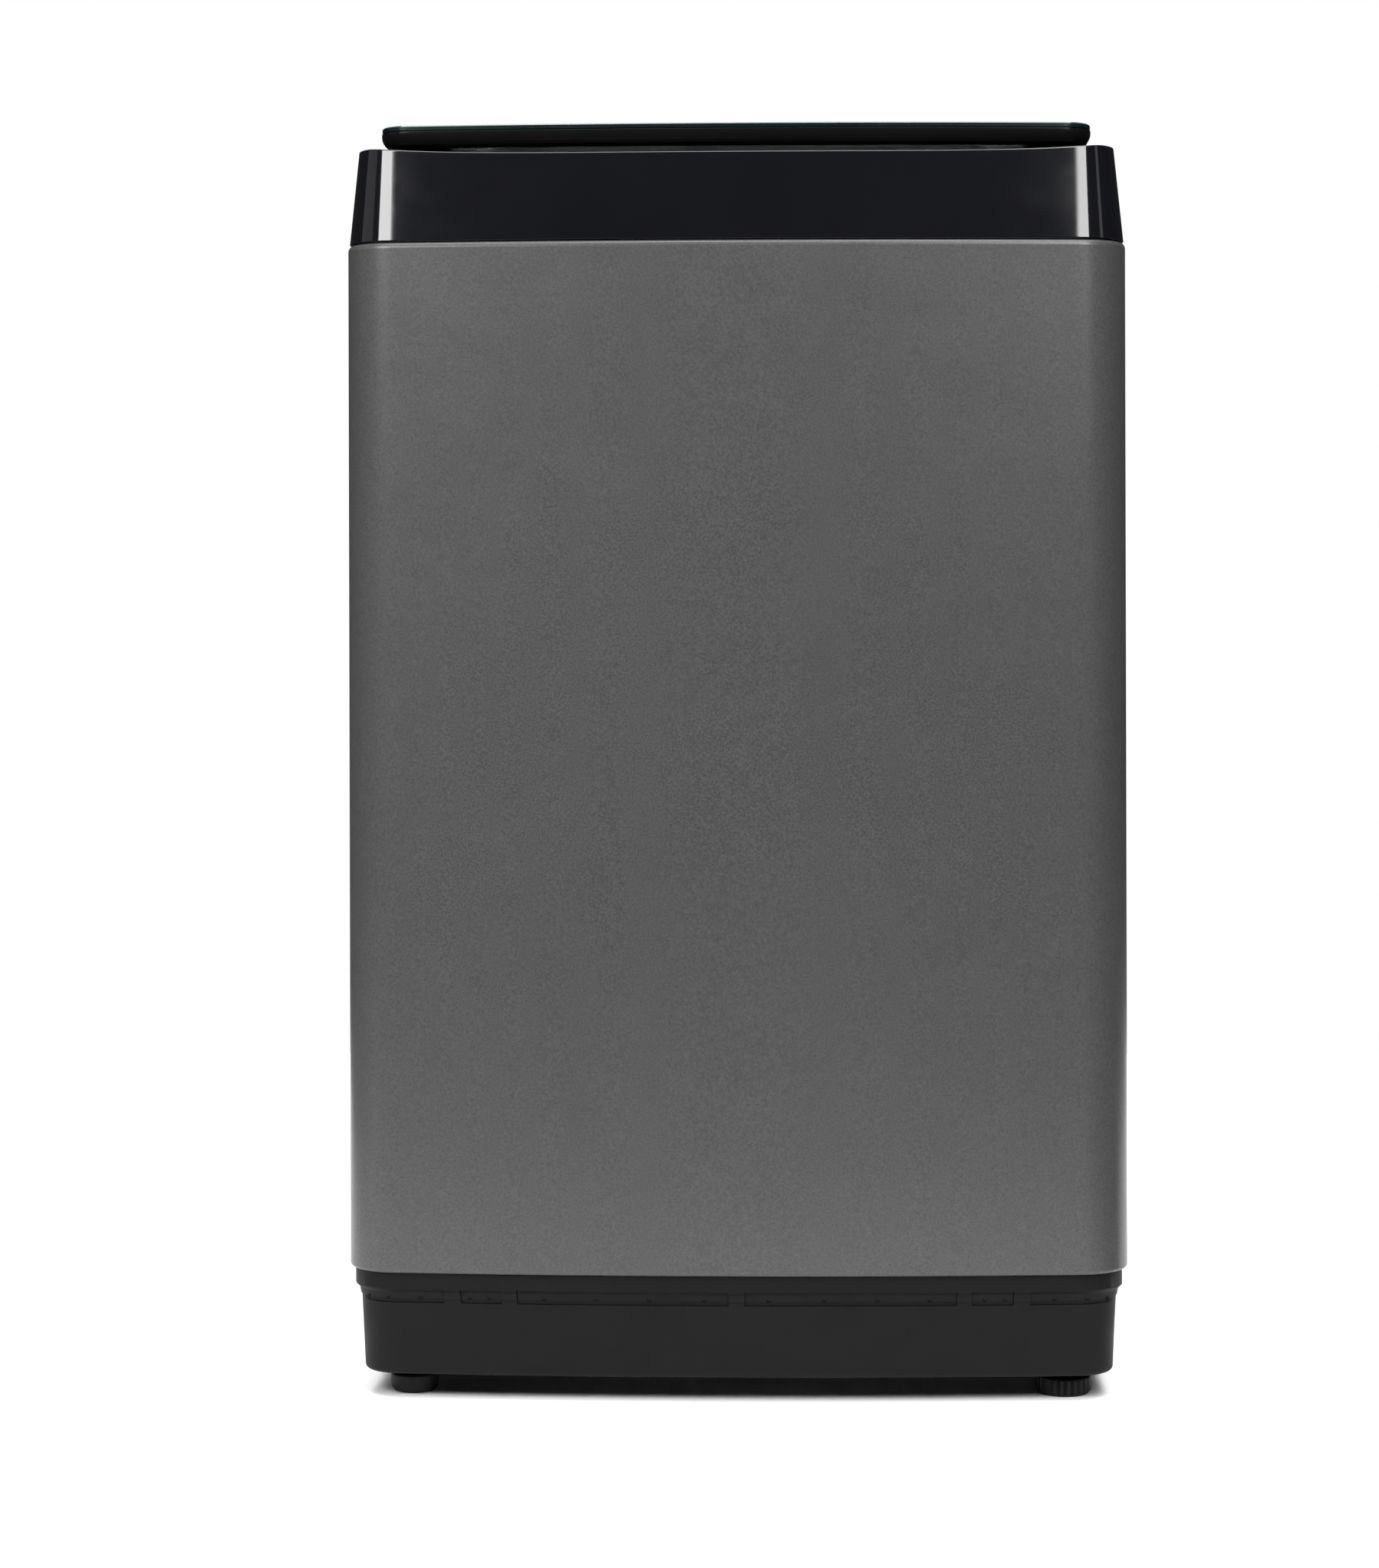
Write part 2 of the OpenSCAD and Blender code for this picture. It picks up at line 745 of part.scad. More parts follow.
module detergent_housing() {
  x0 = drawer_x0 - 10;
  x1 = drawer_x1 + 10;
  z0 = drawer_z0 - 6;
  z1 = deck_z - deck_t;
  color("whitesmoke") difference() {
    box([x0, housing_front_y, z0], [x1, housing_rear_y, z1]);
    box([drawer_x0 - 2, housing_front_y - cut, drawer_z0 - 0.3],
        [drawer_x1 + 2, housing_rear_y - 3, drawer_z1 + 2]);
    box([drawer_x0 + 20, housing_front_y + 20, z0 - cut],
        [drawer_x1 - 20, housing_front_y + 50, drawer_z0]);
    box([x0 - cut, housing_front_y - cut, funnel_top_z - 8.5],
        [x1 + cut, housing_front_y + 6.2, z1 + cut]);
    translate([inlet_x, hose_y, drawer_z1 - 2]) cylinder(r = hose_r - 2, h = 20);
  }
}

module detergent_drawer() {
  front = housing_front_y - 4;
  color("whitesmoke") difference() {
    union() {
      box([drawer_x0 - 2, front - 3, drawer_z0 - 1], [drawer_x1 + 2, front + 1, drawer_z1 + 1]);
      box([drawer_x0, front, drawer_z0], [drawer_x1, housing_rear_y - 14, drawer_z1 - 10]);
    }
    box([drawer_x0 + 2, housing_front_y, drawer_z0 + 2], [drawer_x0 + 74, housing_rear_y - 16, drawer_z1]);
    box([drawer_x0 + 76, housing_front_y, drawer_z0 + 2], [drawer_x1 - 2, housing_rear_y - 16, drawer_z1]);
    box([drawer_x0 + 30, front - 4, drawer_z0 + 12], [drawer_x1 - 30, front - 1.4, drawer_z0 + 26]);
  }
}

module pressure_sensor() {
  color("whitesmoke") translate([20, 242, deck_z]) {
    cylinder(r = 17, h = 16);
    cylinder(r = 9, h = 21);
    translate([-22, -5, 0]) cube([8, 10, 12]);
  }
}

module lid_sensor() {
  color("dimgray") box([sensor_x, -12, deck_z - deck_t - 9], [sensor_x + 14, 14, deck_z - deck_t]);
}

module power_gland() {
  gland_y = rear_y + field_h;
  color([0.1, 0.1, 0.1]) difference() {
    union() {
      cyl_y(gland_x, gland_y - 12, gland_y + 8, gland_z, gland_neck_r);
      cyl_y(gland_x, gland_y - 4, gland_y - sheet_t, gland_z, 11);
      cyl_y(gland_x, gland_y, gland_y + 3, gland_z, 12);
    }
    cyl_y(gland_x, gland_y - 13, gland_y + 9, gland_z, cord_bore_r);
  }
}

module drain_elbow() {
  color("dimgray") difference() {
    union() {
      cyl_y(elbow_x, rear_y - 20, rear_y + 2, elbow_z, elbow_neck_r);
      cyl_y(elbow_x, rear_y + sheet_t, rear_y + 4, elbow_z, 24);
      cyl_y(elbow_x, rear_y + 2, elbow_tip_y, elbow_z, elbow_spigot_r);
    }
    cyl_y(elbow_x, rear_y - 21, elbow_tip_y + cut, elbow_z, 11);
  }
}

module drain_hose() {
  color("dimgray") sweep_tube(drain_route, 14, 10);
}

// ---------- Lid ----------

module lid_frame() {
  p = lid_plan;
  color([0.05, 0.05, 0.06]) difference() {
    union() {
      ring([
        [0, glass_z, p, 0],
        [0, lid_bottom_z + 10, p, 0],
        [0.3, lid_bottom_z + 7.4, p, 0],
        [1.3, lid_bottom_z + 5, p, 0],
        [2.9, lid_bottom_z + 2.9, p, 0],
        [5, lid_bottom_z + 1.3, p, 0],
        [7.4, lid_bottom_z + 0.3, p, 0],
        [10, lid_bottom_z, p, 0],
        [lid_frame_w, lid_bottom_z, p, 0],
        [lid_frame_w, glass_z, p, 0],
        [lid_frame_w - 2.5, glass_z, p, 0],
        [lid_frame_w - 2.5, lid_bottom_z + 2.5, p, 0],
        [12, lid_bottom_z + 2.5, p, 0],
        [8.6, lid_bottom_z + 3.1, p, 0],
        [6.1, lid_bottom_z + 4.5, p, 0],
        [4.1, lid_bottom_z + 6.7, p, 0],
        [3, lid_bottom_z + 9.4, p, 0],
        [3, glass_z, p, 0]
      ]);
      for (sx = [-1, 1]) box([min(sx * 232, sx * 262), hinge_y - 8, lid_bottom_z + 1],
                             [max(sx * 232, sx * 262), hinge_y + 6.5, glass_z]);
    }
    for (sx = [-1, 1]) cyl_x(min(sx * 236, sx * 280), max(sx * 236, sx * 280), hinge_y, hinge_z, damper_r);
  }
}

module lid_glass() {
  color([0.1, 0.11, 0.12, 0.5]) translate([0, 0, glass_z])
    linear_extrude(glass_t) plan_shape(lid_plan, 0.4);
}

module hinge_dampers() {
  color("whitesmoke") for (sx = [-1, 1]) {
    x0 = sx > 0 ? 262 - damper_l : -262;
    difference() {
      cyl_x(x0, x0 + damper_l, hinge_y, hinge_z, damper_r);
      cyl_x(x0 - cut, x0 + damper_l + cut, hinge_y, hinge_z, hinge_pin_r + run_gap);
    }
  }
}

module hinge_pins() {
  color("silver") for (sx = [-1, 1])
    cyl_x(min(sx * 242, sx * (ear_x + ear_t)), max(sx * 242, sx * (ear_x + ear_t)),
          hinge_y, hinge_z, hinge_pin_r);
}

module lid_bumpers() {
  h = lid_bottom_z - deck_z - run_gap;
  color([0.1, 0.1, 0.1]) for (x = [-246, 246], y = [-185, 80])
    translate([x, y, lid_bottom_z - h]) cylinder(r1 = 4, r2 = 5, h = h);
}

module lid_magnet() {
  color("silver") box([sensor_x + 2, -6, lid_bottom_z + 2.5], [sensor_x + 11, 8, lid_bottom_z + 7.5]);
}

// ---------- Tub ----------

module tub_lugs() {
  angles = [lug_angle, 180 - lug_angle, 180 + lug_angle, -lug_angle];
  translate([0, tub_y, 0]) for (a = angles) rotate([0, 0, a]) {
    translate([lug_root, -17, lug_z]) cube([lug_l - lug_root, 34, lug_t]);
    translate([lug_root, -4, lug_z - 60]) cube([36, 8, 62]);
    translate([lug_l, 0, lug_z]) cylinder(r = 20, h = lug_t);
  }
}

module outer_tub() {
  z = tub_floor_z;
  color("gainsboro") difference() {
    union() {
      turned([
        [38, z], [248, z], [259, z + 8], [266, 786], [271, 786], [271, tub_rim_z],
        [263, tub_rim_z], [256, z + 11], [247, z + 4], [38, z + 4]
      ]);
      translate([0, tub_y, 0]) for (k = [0:11]) rotate([0, 0, 15 + k * 30])
        translate([126, -2, z - 22]) cube([100, 4, 23]);
      tub_lugs();
      translate([valve_x, valve_y, z - 10]) cylinder(r = 20, h = 12);
    }
    translate([valve_x, valve_y, z - 12]) cylinder(r = 15, h = 20);
    at_each(corners) translate([0, 0, lug_z - cut]) cylinder(r = 8, h = lug_t + 2 * cut);
  }
}

module tub_cover_ring() {
  color("whitesmoke") turned([
    [207, 803], [207, 812], [211, 816], [262, 813], [275, 809], [275, 788], [272, 788], [272, tub_rim_z],
    [262, tub_rim_z], [262, 810], [213, 812.5], [210, 810], [210, 803]
  ]);
}

module bearing_housing() {
  z = tub_floor_z;
  color("silver") {
    turned([
      [28, z - 68], [34, z - 68], [34, z - 22], [124, z - 22], [124, z - 14],
      [37.9, z - 14], [37.9, z + 4], [26, z + 4], [26, z - 6], [28, z - 6]
    ]);
    translate([0, tub_y, 0]) for (k = [0:5]) rotate([0, 0, k * 60])
      translate([110, 0, z - 15]) cylinder(r = 9, h = 15);
  }
}

// One ball bearing: two races and their balls
module ball_bearing(z0, h) {
  bored_cylinder(28, 24.5, z0, z0 + h);
  bored_cylinder(19, spin_shaft_r + run_gap, z0, z0 + h);
  for (k = [0:8]) rotate([0, 0, k * 40]) translate([21.75, 0, z0 + h / 2]) sphere(r = 2.7, $fn = 24);
}

module shaft_bearings() {
  color("silver") translate([0, tub_y, 0]) {
    ball_bearing(tub_floor_z - 20, 13);
    ball_bearing(tub_floor_z - 66, 13);
  }
}

module tub_seal() {
  color([0.1, 0.1, 0.1]) translate([0, tub_y, 0])
    bored_cylinder(26, spin_shaft_r + run_gap, tub_floor_z - 5, tub_floor_z + 6);
}

module motor_stator() {
  z0 = 168;
  z1 = tub_floor_z - 24;
  color("sienna") translate([0, tub_y, 0]) {
    bored_cylinder(66, 46, z0, z1 + 2);
    for (k = [0:stator_poles - 1]) rotate([0, 0, k * 360 / stator_poles]) {
      translate([64, -3, z0 + 6]) cube([40, 6, z1 - z0 - 12]);
      translate([70, -5.5, z0 + 3]) cube([28, 11, z1 - z0 - 6]);
      translate([102, -9, z0 + 4]) cube([stator_r - 103, 18, z1 - z0 - 8]);
    }
  }
}

module clutch_coil() {
  color("darkorange") translate([0, tub_y, 0]) bored_cylinder(44, 34, tub_floor_z - 66, tub_floor_z - 40);
}

module drain_valve_body() {
  color("whitesmoke") difference() {
    union() {
      cyl_y(valve_x, valve_y - 32, valve_y + 30, valve_z, 24);
      translate([valve_x, valve_y, valve_z]) cylinder(r = 18, h = tub_floor_z - 10 - valve_z);
      translate([valve_x, valve_y, 150]) cylinder(r = 14, h = 40);
      cyl_y(valve_x, valve_y + 30, valve_y + 42, valve_z, 10);
    }
    cyl_y(valve_x, valve_y - 28, valve_y + 26, valve_z, 21);
    translate([valve_x, valve_y, valve_z]) cylinder(r = 14, h = 60);
    translate([valve_x, valve_y, 149]) cylinder(r = 11, h = 40);
    cyl_y(valve_x, valve_y + 20, valve_y + 45, valve_z, 4.5);
  }
}

module drain_plunger() {
  color("dimgray") {
    cyl_y(valve_x, plunger_y, plunger_y + 6, valve_z, 20);
    cyl_y(valve_x, plunger_y + 5, -36, valve_z, 4);
  }
}

module drain_actuator() {
  color("whitesmoke") difference() {
    union() {
      box([valve_x - 20, -40, valve_z - 16], [valve_x + 20, 30, valve_z + 22]);
      for (y = [-30, 20]) translate([valve_x, y, valve_z + 20])
        cylinder(r = 6, h = tub_floor_z - valve_z - 20);
    }
    cyl_y(valve_x, -41, -12, valve_z, 4 + run_gap);
  }
}

// ---------- Basket ----------

module basket_wall() {
  color("silver") translate([0, tub_y, 0])
    bored_cylinder(basket_r, basket_r - sheet_t, basket_bottom_z, basket_top_z, $fn = 128);
}

module balance_ring() {
  z = basket_top_z;
  color("whitesmoke") turned([
    [209, z + 2], [209, z + 33], [211, z + 38], [216, z + 41], [238, z + 41], [243, z + 39], [246, z + 34],
    [246, z + 4], [243, z], [213, z]
  ]);
}

module basket_bottom() {
  z = basket_bottom_z;
  color("whitesmoke") turned([
    [40, z - 15], [182, z - 15], [240, z - 9], [basket_r, z - 4], [basket_r, z], [basket_r - 1, z],
    [basket_r - 1, z + 8], [232, z + 5], [196, z - 1], [176, z - 7], [40, z - 7]
  ]);
}

module basket_hub() {
  z = basket_bottom_z;
  color("silver") translate([0, tub_y, 0]) difference() {
    union() {
      translate([0, 0, z - 22]) cylinder(r = 78, h = 7);
      translate([0, 0, z - 22]) cylinder(r = 40, h = 15);
      translate([0, 0, z - 34]) cylinder(r = 24, h = 14);
    }
    translate([0, 0, z - 35]) cylinder(r = spin_shaft_r, h = 40);
  }
}

module lint_filters() {
  color("gainsboro") translate([0, tub_y, 0]) for (a = [0, 180]) rotate([0, 0, a]) intersection() {
    bored_cylinder(basket_r - 1, basket_r - 13, 470, 650, $fn = 128);
    box([180, -46, 470], [260, 46, 650]);
  }
}

module spin_shaft() {
  color("silver") translate([0, tub_y, 0])
    bored_cylinder(spin_shaft_r, wash_shaft_r + run_gap, coupler_z, basket_bottom_z - 3);
}

// ---------- Pulsator, shaft and rotor ----------

module vane() {
  hull() {
    translate([40, 0, pulsator_z + 12]) sphere(r = 12, $fn = 20);
    translate([96, 8, pulsator_z + 13]) sphere(r = 13, $fn = 20);
    translate([pulsator_r - 20, 30, pulsator_z + 8]) sphere(r = 7, $fn = 20);
  }
}

module pulsator() {
  z = pulsator_z;
  color("whitesmoke") {
    turned([
      [wash_shaft_r, z], [wash_shaft_r, z + 22], [9, z + 24], [26, z + 24], [34, z + 16], [60, z + 9],
      [pulsator_r - 20, z + 7], [pulsator_r - 3, z + 5.5], [pulsator_r, z + 3], [pulsator_r - 2, z + 1],
      [40, z + 2], [36, z]
    ]);
    translate([0, tub_y, 0]) for (k = [0:vane_count - 1])
      rotate([0, 0, k * 360 / vane_count]) difference() {
        vane();
        translate([0, 0, pulsator_z - 20]) cylinder(r = pulsator_r, h = 24);
      }
  }
}

module pulsator_screw() {
  color("silver") translate([0, tub_y, 0]) {
    translate([0, 0, pulsator_z + 24]) cylinder(r = 13, h = 4);
    translate([0, 0, pulsator_z + 27]) cylinder(r = 8, h = 5, $fn = 6);
  }
}

module wash_shaft() {
  color("silver") translate([0, tub_y, rotor_z - 18])
    cylinder(r = wash_shaft_r, h = pulsator_z + 24 - rotor_z + 18);
}

module motor_rotor() {
  z = rotor_z;
  color("gray") {
    turned([
      [wash_shaft_r, z - 8], [28, z - 8], [28, z], [rotor_r - 6, z], [rotor_r, z + 5], [rotor_r, z + 60],
      [rotor_r - 8, z + 60], [rotor_r - 8, z + 24], [rotor_r - 3, z + 24], [rotor_r - 3, z + 6],
      [rotor_r - 7, z + 3], [28, z + 3], [28, z + 6], [wash_shaft_r, z + 6]
    ]);
    translate([0, tub_y, 0]) difference() {
      translate([0, 0, z - 17]) cylinder(r = 14, h = 9, $fn = 6);
      translate([0, 0, z - 18]) cylinder(r = wash_shaft_r, h = 11);
    }
  }
}

module clutch_coupler() {
  color("silver") translate([0, tub_y, 0]) {
    bored_cylinder(22, spin_shaft_r + run_gap, coupler_z, coupler_z + 15);
    bored_cylinder(40, 21, coupler_z + 2, coupler_z + 9);
  }
}

// ---------- Assembly ----------

cabinet();
rear_panel();
case_screws();
base_frame();
fixed_feet();
foot_lock_nut();
corner_brackets();
suspension_rods();
suspension_springs();
rod_seats();
top_cover();
mouth_funnel();
console_housing();
console_panel();
display_window();
control_board();
inlet_valve();
inlet_duct();
detergent_housing();
pressure_sensor();
hinge_pins();
lid_sensor();
power_gland();
drain_elbow();
drain_hose();
lid_frame();
lid_glass();
hinge_dampers();
lid_bumpers();
lid_magnet();
detergent_drawer();
outer_tub();
tub_cover_ring();
damper_cups();
bearing_housing();
shaft_bearings();
tub_seal();
motor_stator();
clutch_coil();
drain_valve_body();
drain_actuator();
basket_wall();
balance_ring();
basket_bottom();
basket_hub();
lint_filters();
spin_shaft();
pulsator();
pulsator_screw();
wash_shaft();
motor_rotor();
clutch_coupler();
drain_plunger();
levelling_foot();
button(power_at);  // button_power
button(start_at);  // button_start
button(program_at);  // button_program
button(level_at);  // button_level
button(rinse_at);  // button_rinse
button(spin_at);  // button_spin
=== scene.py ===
import math
from collections import namedtuple

import bmesh
import bpy
import numpy as np
from mathutils import Matrix, Vector


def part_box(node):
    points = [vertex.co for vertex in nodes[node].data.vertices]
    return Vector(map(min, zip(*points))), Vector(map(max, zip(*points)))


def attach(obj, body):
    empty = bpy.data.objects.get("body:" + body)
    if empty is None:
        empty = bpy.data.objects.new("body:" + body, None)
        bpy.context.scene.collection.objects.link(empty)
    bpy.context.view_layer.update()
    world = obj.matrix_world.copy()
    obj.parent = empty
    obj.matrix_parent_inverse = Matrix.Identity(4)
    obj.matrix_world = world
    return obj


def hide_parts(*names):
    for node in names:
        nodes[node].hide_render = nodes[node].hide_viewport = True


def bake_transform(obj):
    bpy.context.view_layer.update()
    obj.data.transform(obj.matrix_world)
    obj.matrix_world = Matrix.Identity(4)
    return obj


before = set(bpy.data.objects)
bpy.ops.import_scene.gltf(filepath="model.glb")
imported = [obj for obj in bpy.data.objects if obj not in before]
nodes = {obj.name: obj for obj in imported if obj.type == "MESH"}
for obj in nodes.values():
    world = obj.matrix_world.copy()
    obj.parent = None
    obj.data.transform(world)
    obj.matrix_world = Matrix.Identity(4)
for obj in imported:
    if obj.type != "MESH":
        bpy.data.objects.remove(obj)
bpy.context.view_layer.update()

MM = 0.001

# ---------------------------------------------------------------- camera, lights and floor


def look_from(azimuth, distance, height, lens, shift, roll):
    """A level camera turned about the machine's upright axis."""
    data = bpy.data.cameras.new("camera")
    data.lens = lens
    data.sensor_width = 36
    data.shift_x, data.shift_y = shift
    data.clip_end = 60
    camera = bpy.data.objects.new("camera", data)
    turn = math.radians(azimuth)
    camera.location = (distance * math.sin(turn), -distance * math.cos(turn), height)
    level = Matrix.Rotation(turn, 3, "Z") @ Matrix.Rotation(math.pi / 2, 3, "X")
    camera.rotation_euler = (level @ Matrix.Rotation(math.radians(roll), 3, "Z")).to_euler()
    bpy.context.scene.collection.objects.link(camera)
    bpy.context.scene.camera = camera


def softbox(name, place, target, size, power, mirrored=True):
    """An area light that faces a target point, and that gloss mirrors or not."""
    data = bpy.data.lights.new(name, "AREA")
    data.shape = "RECTANGLE"
    data.size, data.size_y = size
    data.energy = power
    light = bpy.data.objects.new(name, data)
    light.visible_glossy = mirrored
    light.location = place
    light.rotation_euler = (Vector(target) - Vector(place)).to_track_quat("-Z", "Y").to_euler()
    bpy.context.scene.collection.objects.link(light)


def studio_world(seen, ambient):
    """White to the camera, and a dimmer even light on everything else."""
    world = bpy.data.worlds.new("studio")
    world.use_nodes = True
    bpy.context.scene.world = world
    tree = world.node_tree
    tree.nodes.clear()
    path = tree.nodes.new("ShaderNodeLightPath")
    mix = tree.nodes.new("ShaderNodeMixShader")
    out = tree.nodes.new("ShaderNodeOutputWorld")
    for slot, strength in ((1, ambient), (2, seen)):
        light = tree.nodes.new("ShaderNodeBackground")
        light.inputs["Color"].default_value = (1, 1, 1, 1)
        light.inputs["Strength"].default_value = strength
        tree.links.new(light.outputs[0], mix.inputs[slot])
    tree.links.new(path.outputs["Is Camera Ray"], mix.inputs[0])
    tree.links.new(mix.outputs[0], out.inputs[0])


def sunlight(strength, spread):
    """An even light from straight above, with soft shadows, mostly for the floor."""
    data = bpy.data.lights.new("overhead", "SUN")
    data.energy = strength
    data.angle = math.radians(spread)
    bpy.context.scene.collection.objects.link(bpy.data.objects.new("overhead", data))


def studio_floor(corners, colour):
    """A plain pale floor under the machine. It ends in front of the machine, outside the picture."""
    mesh = bpy.data.meshes.new("floor")
    mesh.from_pydata([(x, y, 0) for x, y in corners], [], [tuple(range(len(corners)))])
    floor = bpy.data.objects.new("floor", mesh)
    bpy.context.scene.collection.objects.link(floor)
    floor.data.materials.append(finish("studio_floor", colour, 0.7, mottle=(3, 0.004), specular=0.0))


# ---------------------------------------------------------------- materials


NOISE_LOW, NOISE_HIGH = 0.3, 0.7     # where most of a noise texture's values lie
ROUGH_SCALE = 35                     # of the patches that are more or less rough


def finish(name, colour, rough, metal=0.0, grain=(0, 0), mottle=(0, 0), bump=(0, 0), streak=None,
           rough_spread=0.0, coat=0.0, coat_rough=0.03, specular=0.5, clear=0.0, glow=0.0):
    """A procedural surface. grain and mottle are (scale, amount) of fine and broad tone changes, bump is
    (scale, depth in metres), and streak stretches the tone changes along one direction."""
    mat = bpy.data.materials.new(name)
    mat.use_nodes = True
    tree = mat.node_tree
    shader = tree.nodes["Principled BSDF"]
    shader.inputs["Metallic"].default_value = metal
    shader.inputs["Specular IOR Level"].default_value = specular
    shader.inputs["Coat Weight"].default_value = coat
    shader.inputs["Coat Roughness"].default_value = coat_rough
    shader.inputs["Transmission Weight"].default_value = clear
    where = tree.nodes.new("ShaderNodeTexCoord").outputs["Object"]
    if streak:
        stretch = tree.nodes.new("ShaderNodeMapping")
        stretch.inputs["Scale"].default_value = streak
        tree.links.new(where, stretch.inputs["Vector"])
        where = stretch.outputs["Vector"]

    def noise(scale, detail):
        texture = tree.nodes.new("ShaderNodeTexNoise")
        texture.inputs["Scale"].default_value = scale
        texture.inputs["Detail"].default_value = detail
        tree.links.new(where, texture.inputs["Vector"])
        return texture.outputs["Fac"]

    def spread(fac, low, high):
        ramp = tree.nodes.new("ShaderNodeMapRange")
        ramp.inputs["From Min"].default_value = NOISE_LOW
        ramp.inputs["From Max"].default_value = NOISE_HIGH
        ramp.inputs["To Min"].default_value = low
        ramp.inputs["To Max"].default_value = high
        tree.links.new(fac, ramp.inputs["Value"])
        return ramp.outputs["Result"]

    tone = None
    for scale, amount in (grain, mottle):
        if not amount:
            continue
        part = spread(noise(scale, 3), 1 - amount, 1 + amount)
        if tone is None:
            tone = part
            continue
        both = tree.nodes.new("ShaderNodeMath")
        both.operation = "MULTIPLY"
        tree.links.new(tone, both.inputs[0])
        tree.links.new(part, both.inputs[1])
        tone = both.outputs[0]
    base = shader.inputs["Base Color"]
    base.default_value = (*colour, 1)
    if tone is not None:
        scaled = tree.nodes.new("ShaderNodeVectorMath")
        scaled.operation = "SCALE"
        scaled.inputs[0].default_value = colour
        tree.links.new(tone, scaled.inputs["Scale"])
        tree.links.new(scaled.outputs["Vector"], base)
    shader.inputs["Roughness"].default_value = rough
    if rough_spread:
        rough_fac = spread(noise(ROUGH_SCALE, 4), max(0.0, rough - rough_spread), rough + rough_spread)
        tree.links.new(rough_fac, shader.inputs["Roughness"])
    if bump[1]:
        dent = tree.nodes.new("ShaderNodeBump")
        dent.inputs["Strength"].default_value = 1
        dent.inputs["Distance"].default_value = bump[1]
        tree.links.new(noise(bump[0], 2), dent.inputs["Height"])
        tree.links.new(dent.outputs["Normal"], shader.inputs["Normal"])
    if glow:
        shader.inputs["Emission Color"].default_value = (*colour, 1)
        shader.inputs["Emission Strength"].default_value = glow
    return mat


DRAWN = (1, 1, 0.05)
LAID = (0.05, 1, 1)
paint = finish("graphite_paint", (0.0572, 0.0572, 0.0568), 0.33, grain=(700, 0.25), mottle=(3, 0.03),
               bump=(1900, 0.00002), rough_spread=0.03, specular=0.4)
gloss = finish("black_gloss", (0.0045, 0.0047, 0.0062), 0.07, mottle=(6, 0.1), rough_spread=0.015,
               bump=(9, 0.00004))
lid_gloss = finish("lid_gloss", (0.0048, 0.0048, 0.0052), 0.16, mottle=(6, 0.1), rough_spread=0.03,
                   specular=0.1)
base_black = finish("base_plastic", (0.0043, 0.0043, 0.0046), 0.55, specular=0.15, grain=(900, 0.12),
                    mottle=(8, 0.05), bump=(1300, 0.00005), rough_spread=0.05)
# near-black, darker than the base plastic: painted shade for the small dark dimples in the pockets' floors
plug_painted_shade = finish("plug_painted_shade", (0.001, 0.001, 0.001), 0.7, specular=0.1, grain=(500, 0.1))
rubber = finish("foot_rubber", (0.0045, 0.0045, 0.0045), 0.6, specular=0.25, grain=(700, 0.15),
                bump=(900, 0.00006), rough_spread=0.06)
hose = finish("hose_rubber", (0.045, 0.045, 0.048), 0.5, mottle=(20, 0.12), rough_spread=0.08)
zinc = finish("zinc_sheet", (0.5, 0.51, 0.52), 0.42, metal=0.9, grain=(60, 0.07), mottle=(9, 0.04),
              rough_spread=0.02, bump=(160, 0.00001))
steel = finish("drawn_steel", (0.56, 0.56, 0.57), 0.26, metal=1, grain=(300, 0.07), streak=DRAWN,
               rough_spread=0.06)
spring_steel = finish("spring_steel", (0.33, 0.33, 0.34), 0.32, metal=1, grain=(200, 0.1), rough_spread=0.08)
screw_steel = finish("screw_steel", (0.6, 0.6, 0.58), 0.3, metal=1, grain=(400, 0.06), rough_spread=0.08)
cast = finish("cast_aluminium", (0.58, 0.58, 0.59), 0.5, metal=0.85, grain=(260, 0.1), bump=(420, 0.0001),
              rough_spread=0.08)
drum_steel = finish("drum_steel", (0.66, 0.66, 0.67), 0.24, metal=1, grain=(240, 0.05), streak=LAID,
                    rough_spread=0.05)
nylon = finish("white_nylon", (0.74, 0.74, 0.72), 0.42, mottle=(30, 0.03), rough_spread=0.06)
tub_plastic = finish("tub_plastic", (0.56, 0.57, 0.585), 0.4, mottle=(14, 0.03), grain=(500, 0.03),
                     bump=(700, 0.00003), rough_spread=0.05)
ring_plastic = finish("ring_plastic", (0.66, 0.67, 0.685), 0.3, mottle=(14, 0.03), rough_spread=0.05)
white_plastic = finish("valve_plastic", (0.7, 0.71, 0.71), 0.38, mottle=(25, 0.03), rough_spread=0.06)
dark_plastic = finish("dark_plastic", (0.035, 0.035, 0.038), 0.45, grain=(500, 0.12), bump=(800, 0.00004),
                      rough_spread=0.06)
circuit = finish("circuit_board", (0.02, 0.13, 0.05), 0.3, grain=(150, 0.2), mottle=(60, 0.15),
                 rough_spread=0.05)
copper = finish("winding_copper", (0.5, 0.2, 0.09), 0.34, metal=0.8, grain=(260, 0.25), streak=DRAWN,
                rough_spread=0.08)
rotor_metal = finish("rotor_steel", (0.28, 0.28, 0.29), 0.42, metal=0.8, grain=(90, 0.08), rough_spread=0.08)
pulsator_blue = finish("pulsator_plastic", (0.5, 0.53, 0.57), 0.22, mottle=(12, 0.04), rough_spread=0.05,
                       coat=0.2, coat_rough=0.1)
button_satin = finish("button_plastic", (0.17, 0.172, 0.178), 0.42, metal=0.25, grain=(900, 0.06),
                      rough_spread=0.05)
smoked = finish("smoked_window", (0.012, 0.013, 0.016), 0.05, mottle=(10, 0.08), rough_spread=0.01)
print_grey = finish("printed_marks", (0.55, 0.56, 0.58), 0.35, grain=(800, 0.05))
lamp_blue = finish("lamp_diffuser", (0.25, 0.55, 0.9), 0.3, grain=(500, 0.1), glow=1.2)
glass_tint = finish("tinted_glass", (0.2, 0.22, 0.225), 0.02, mottle=(4, 0.02), clear=0.97)
glass_bevel = finish("glass_bevel", (0.02, 0.07, 0.066), 0.08, grain=(300, 0.1), rough_spread=0.02)
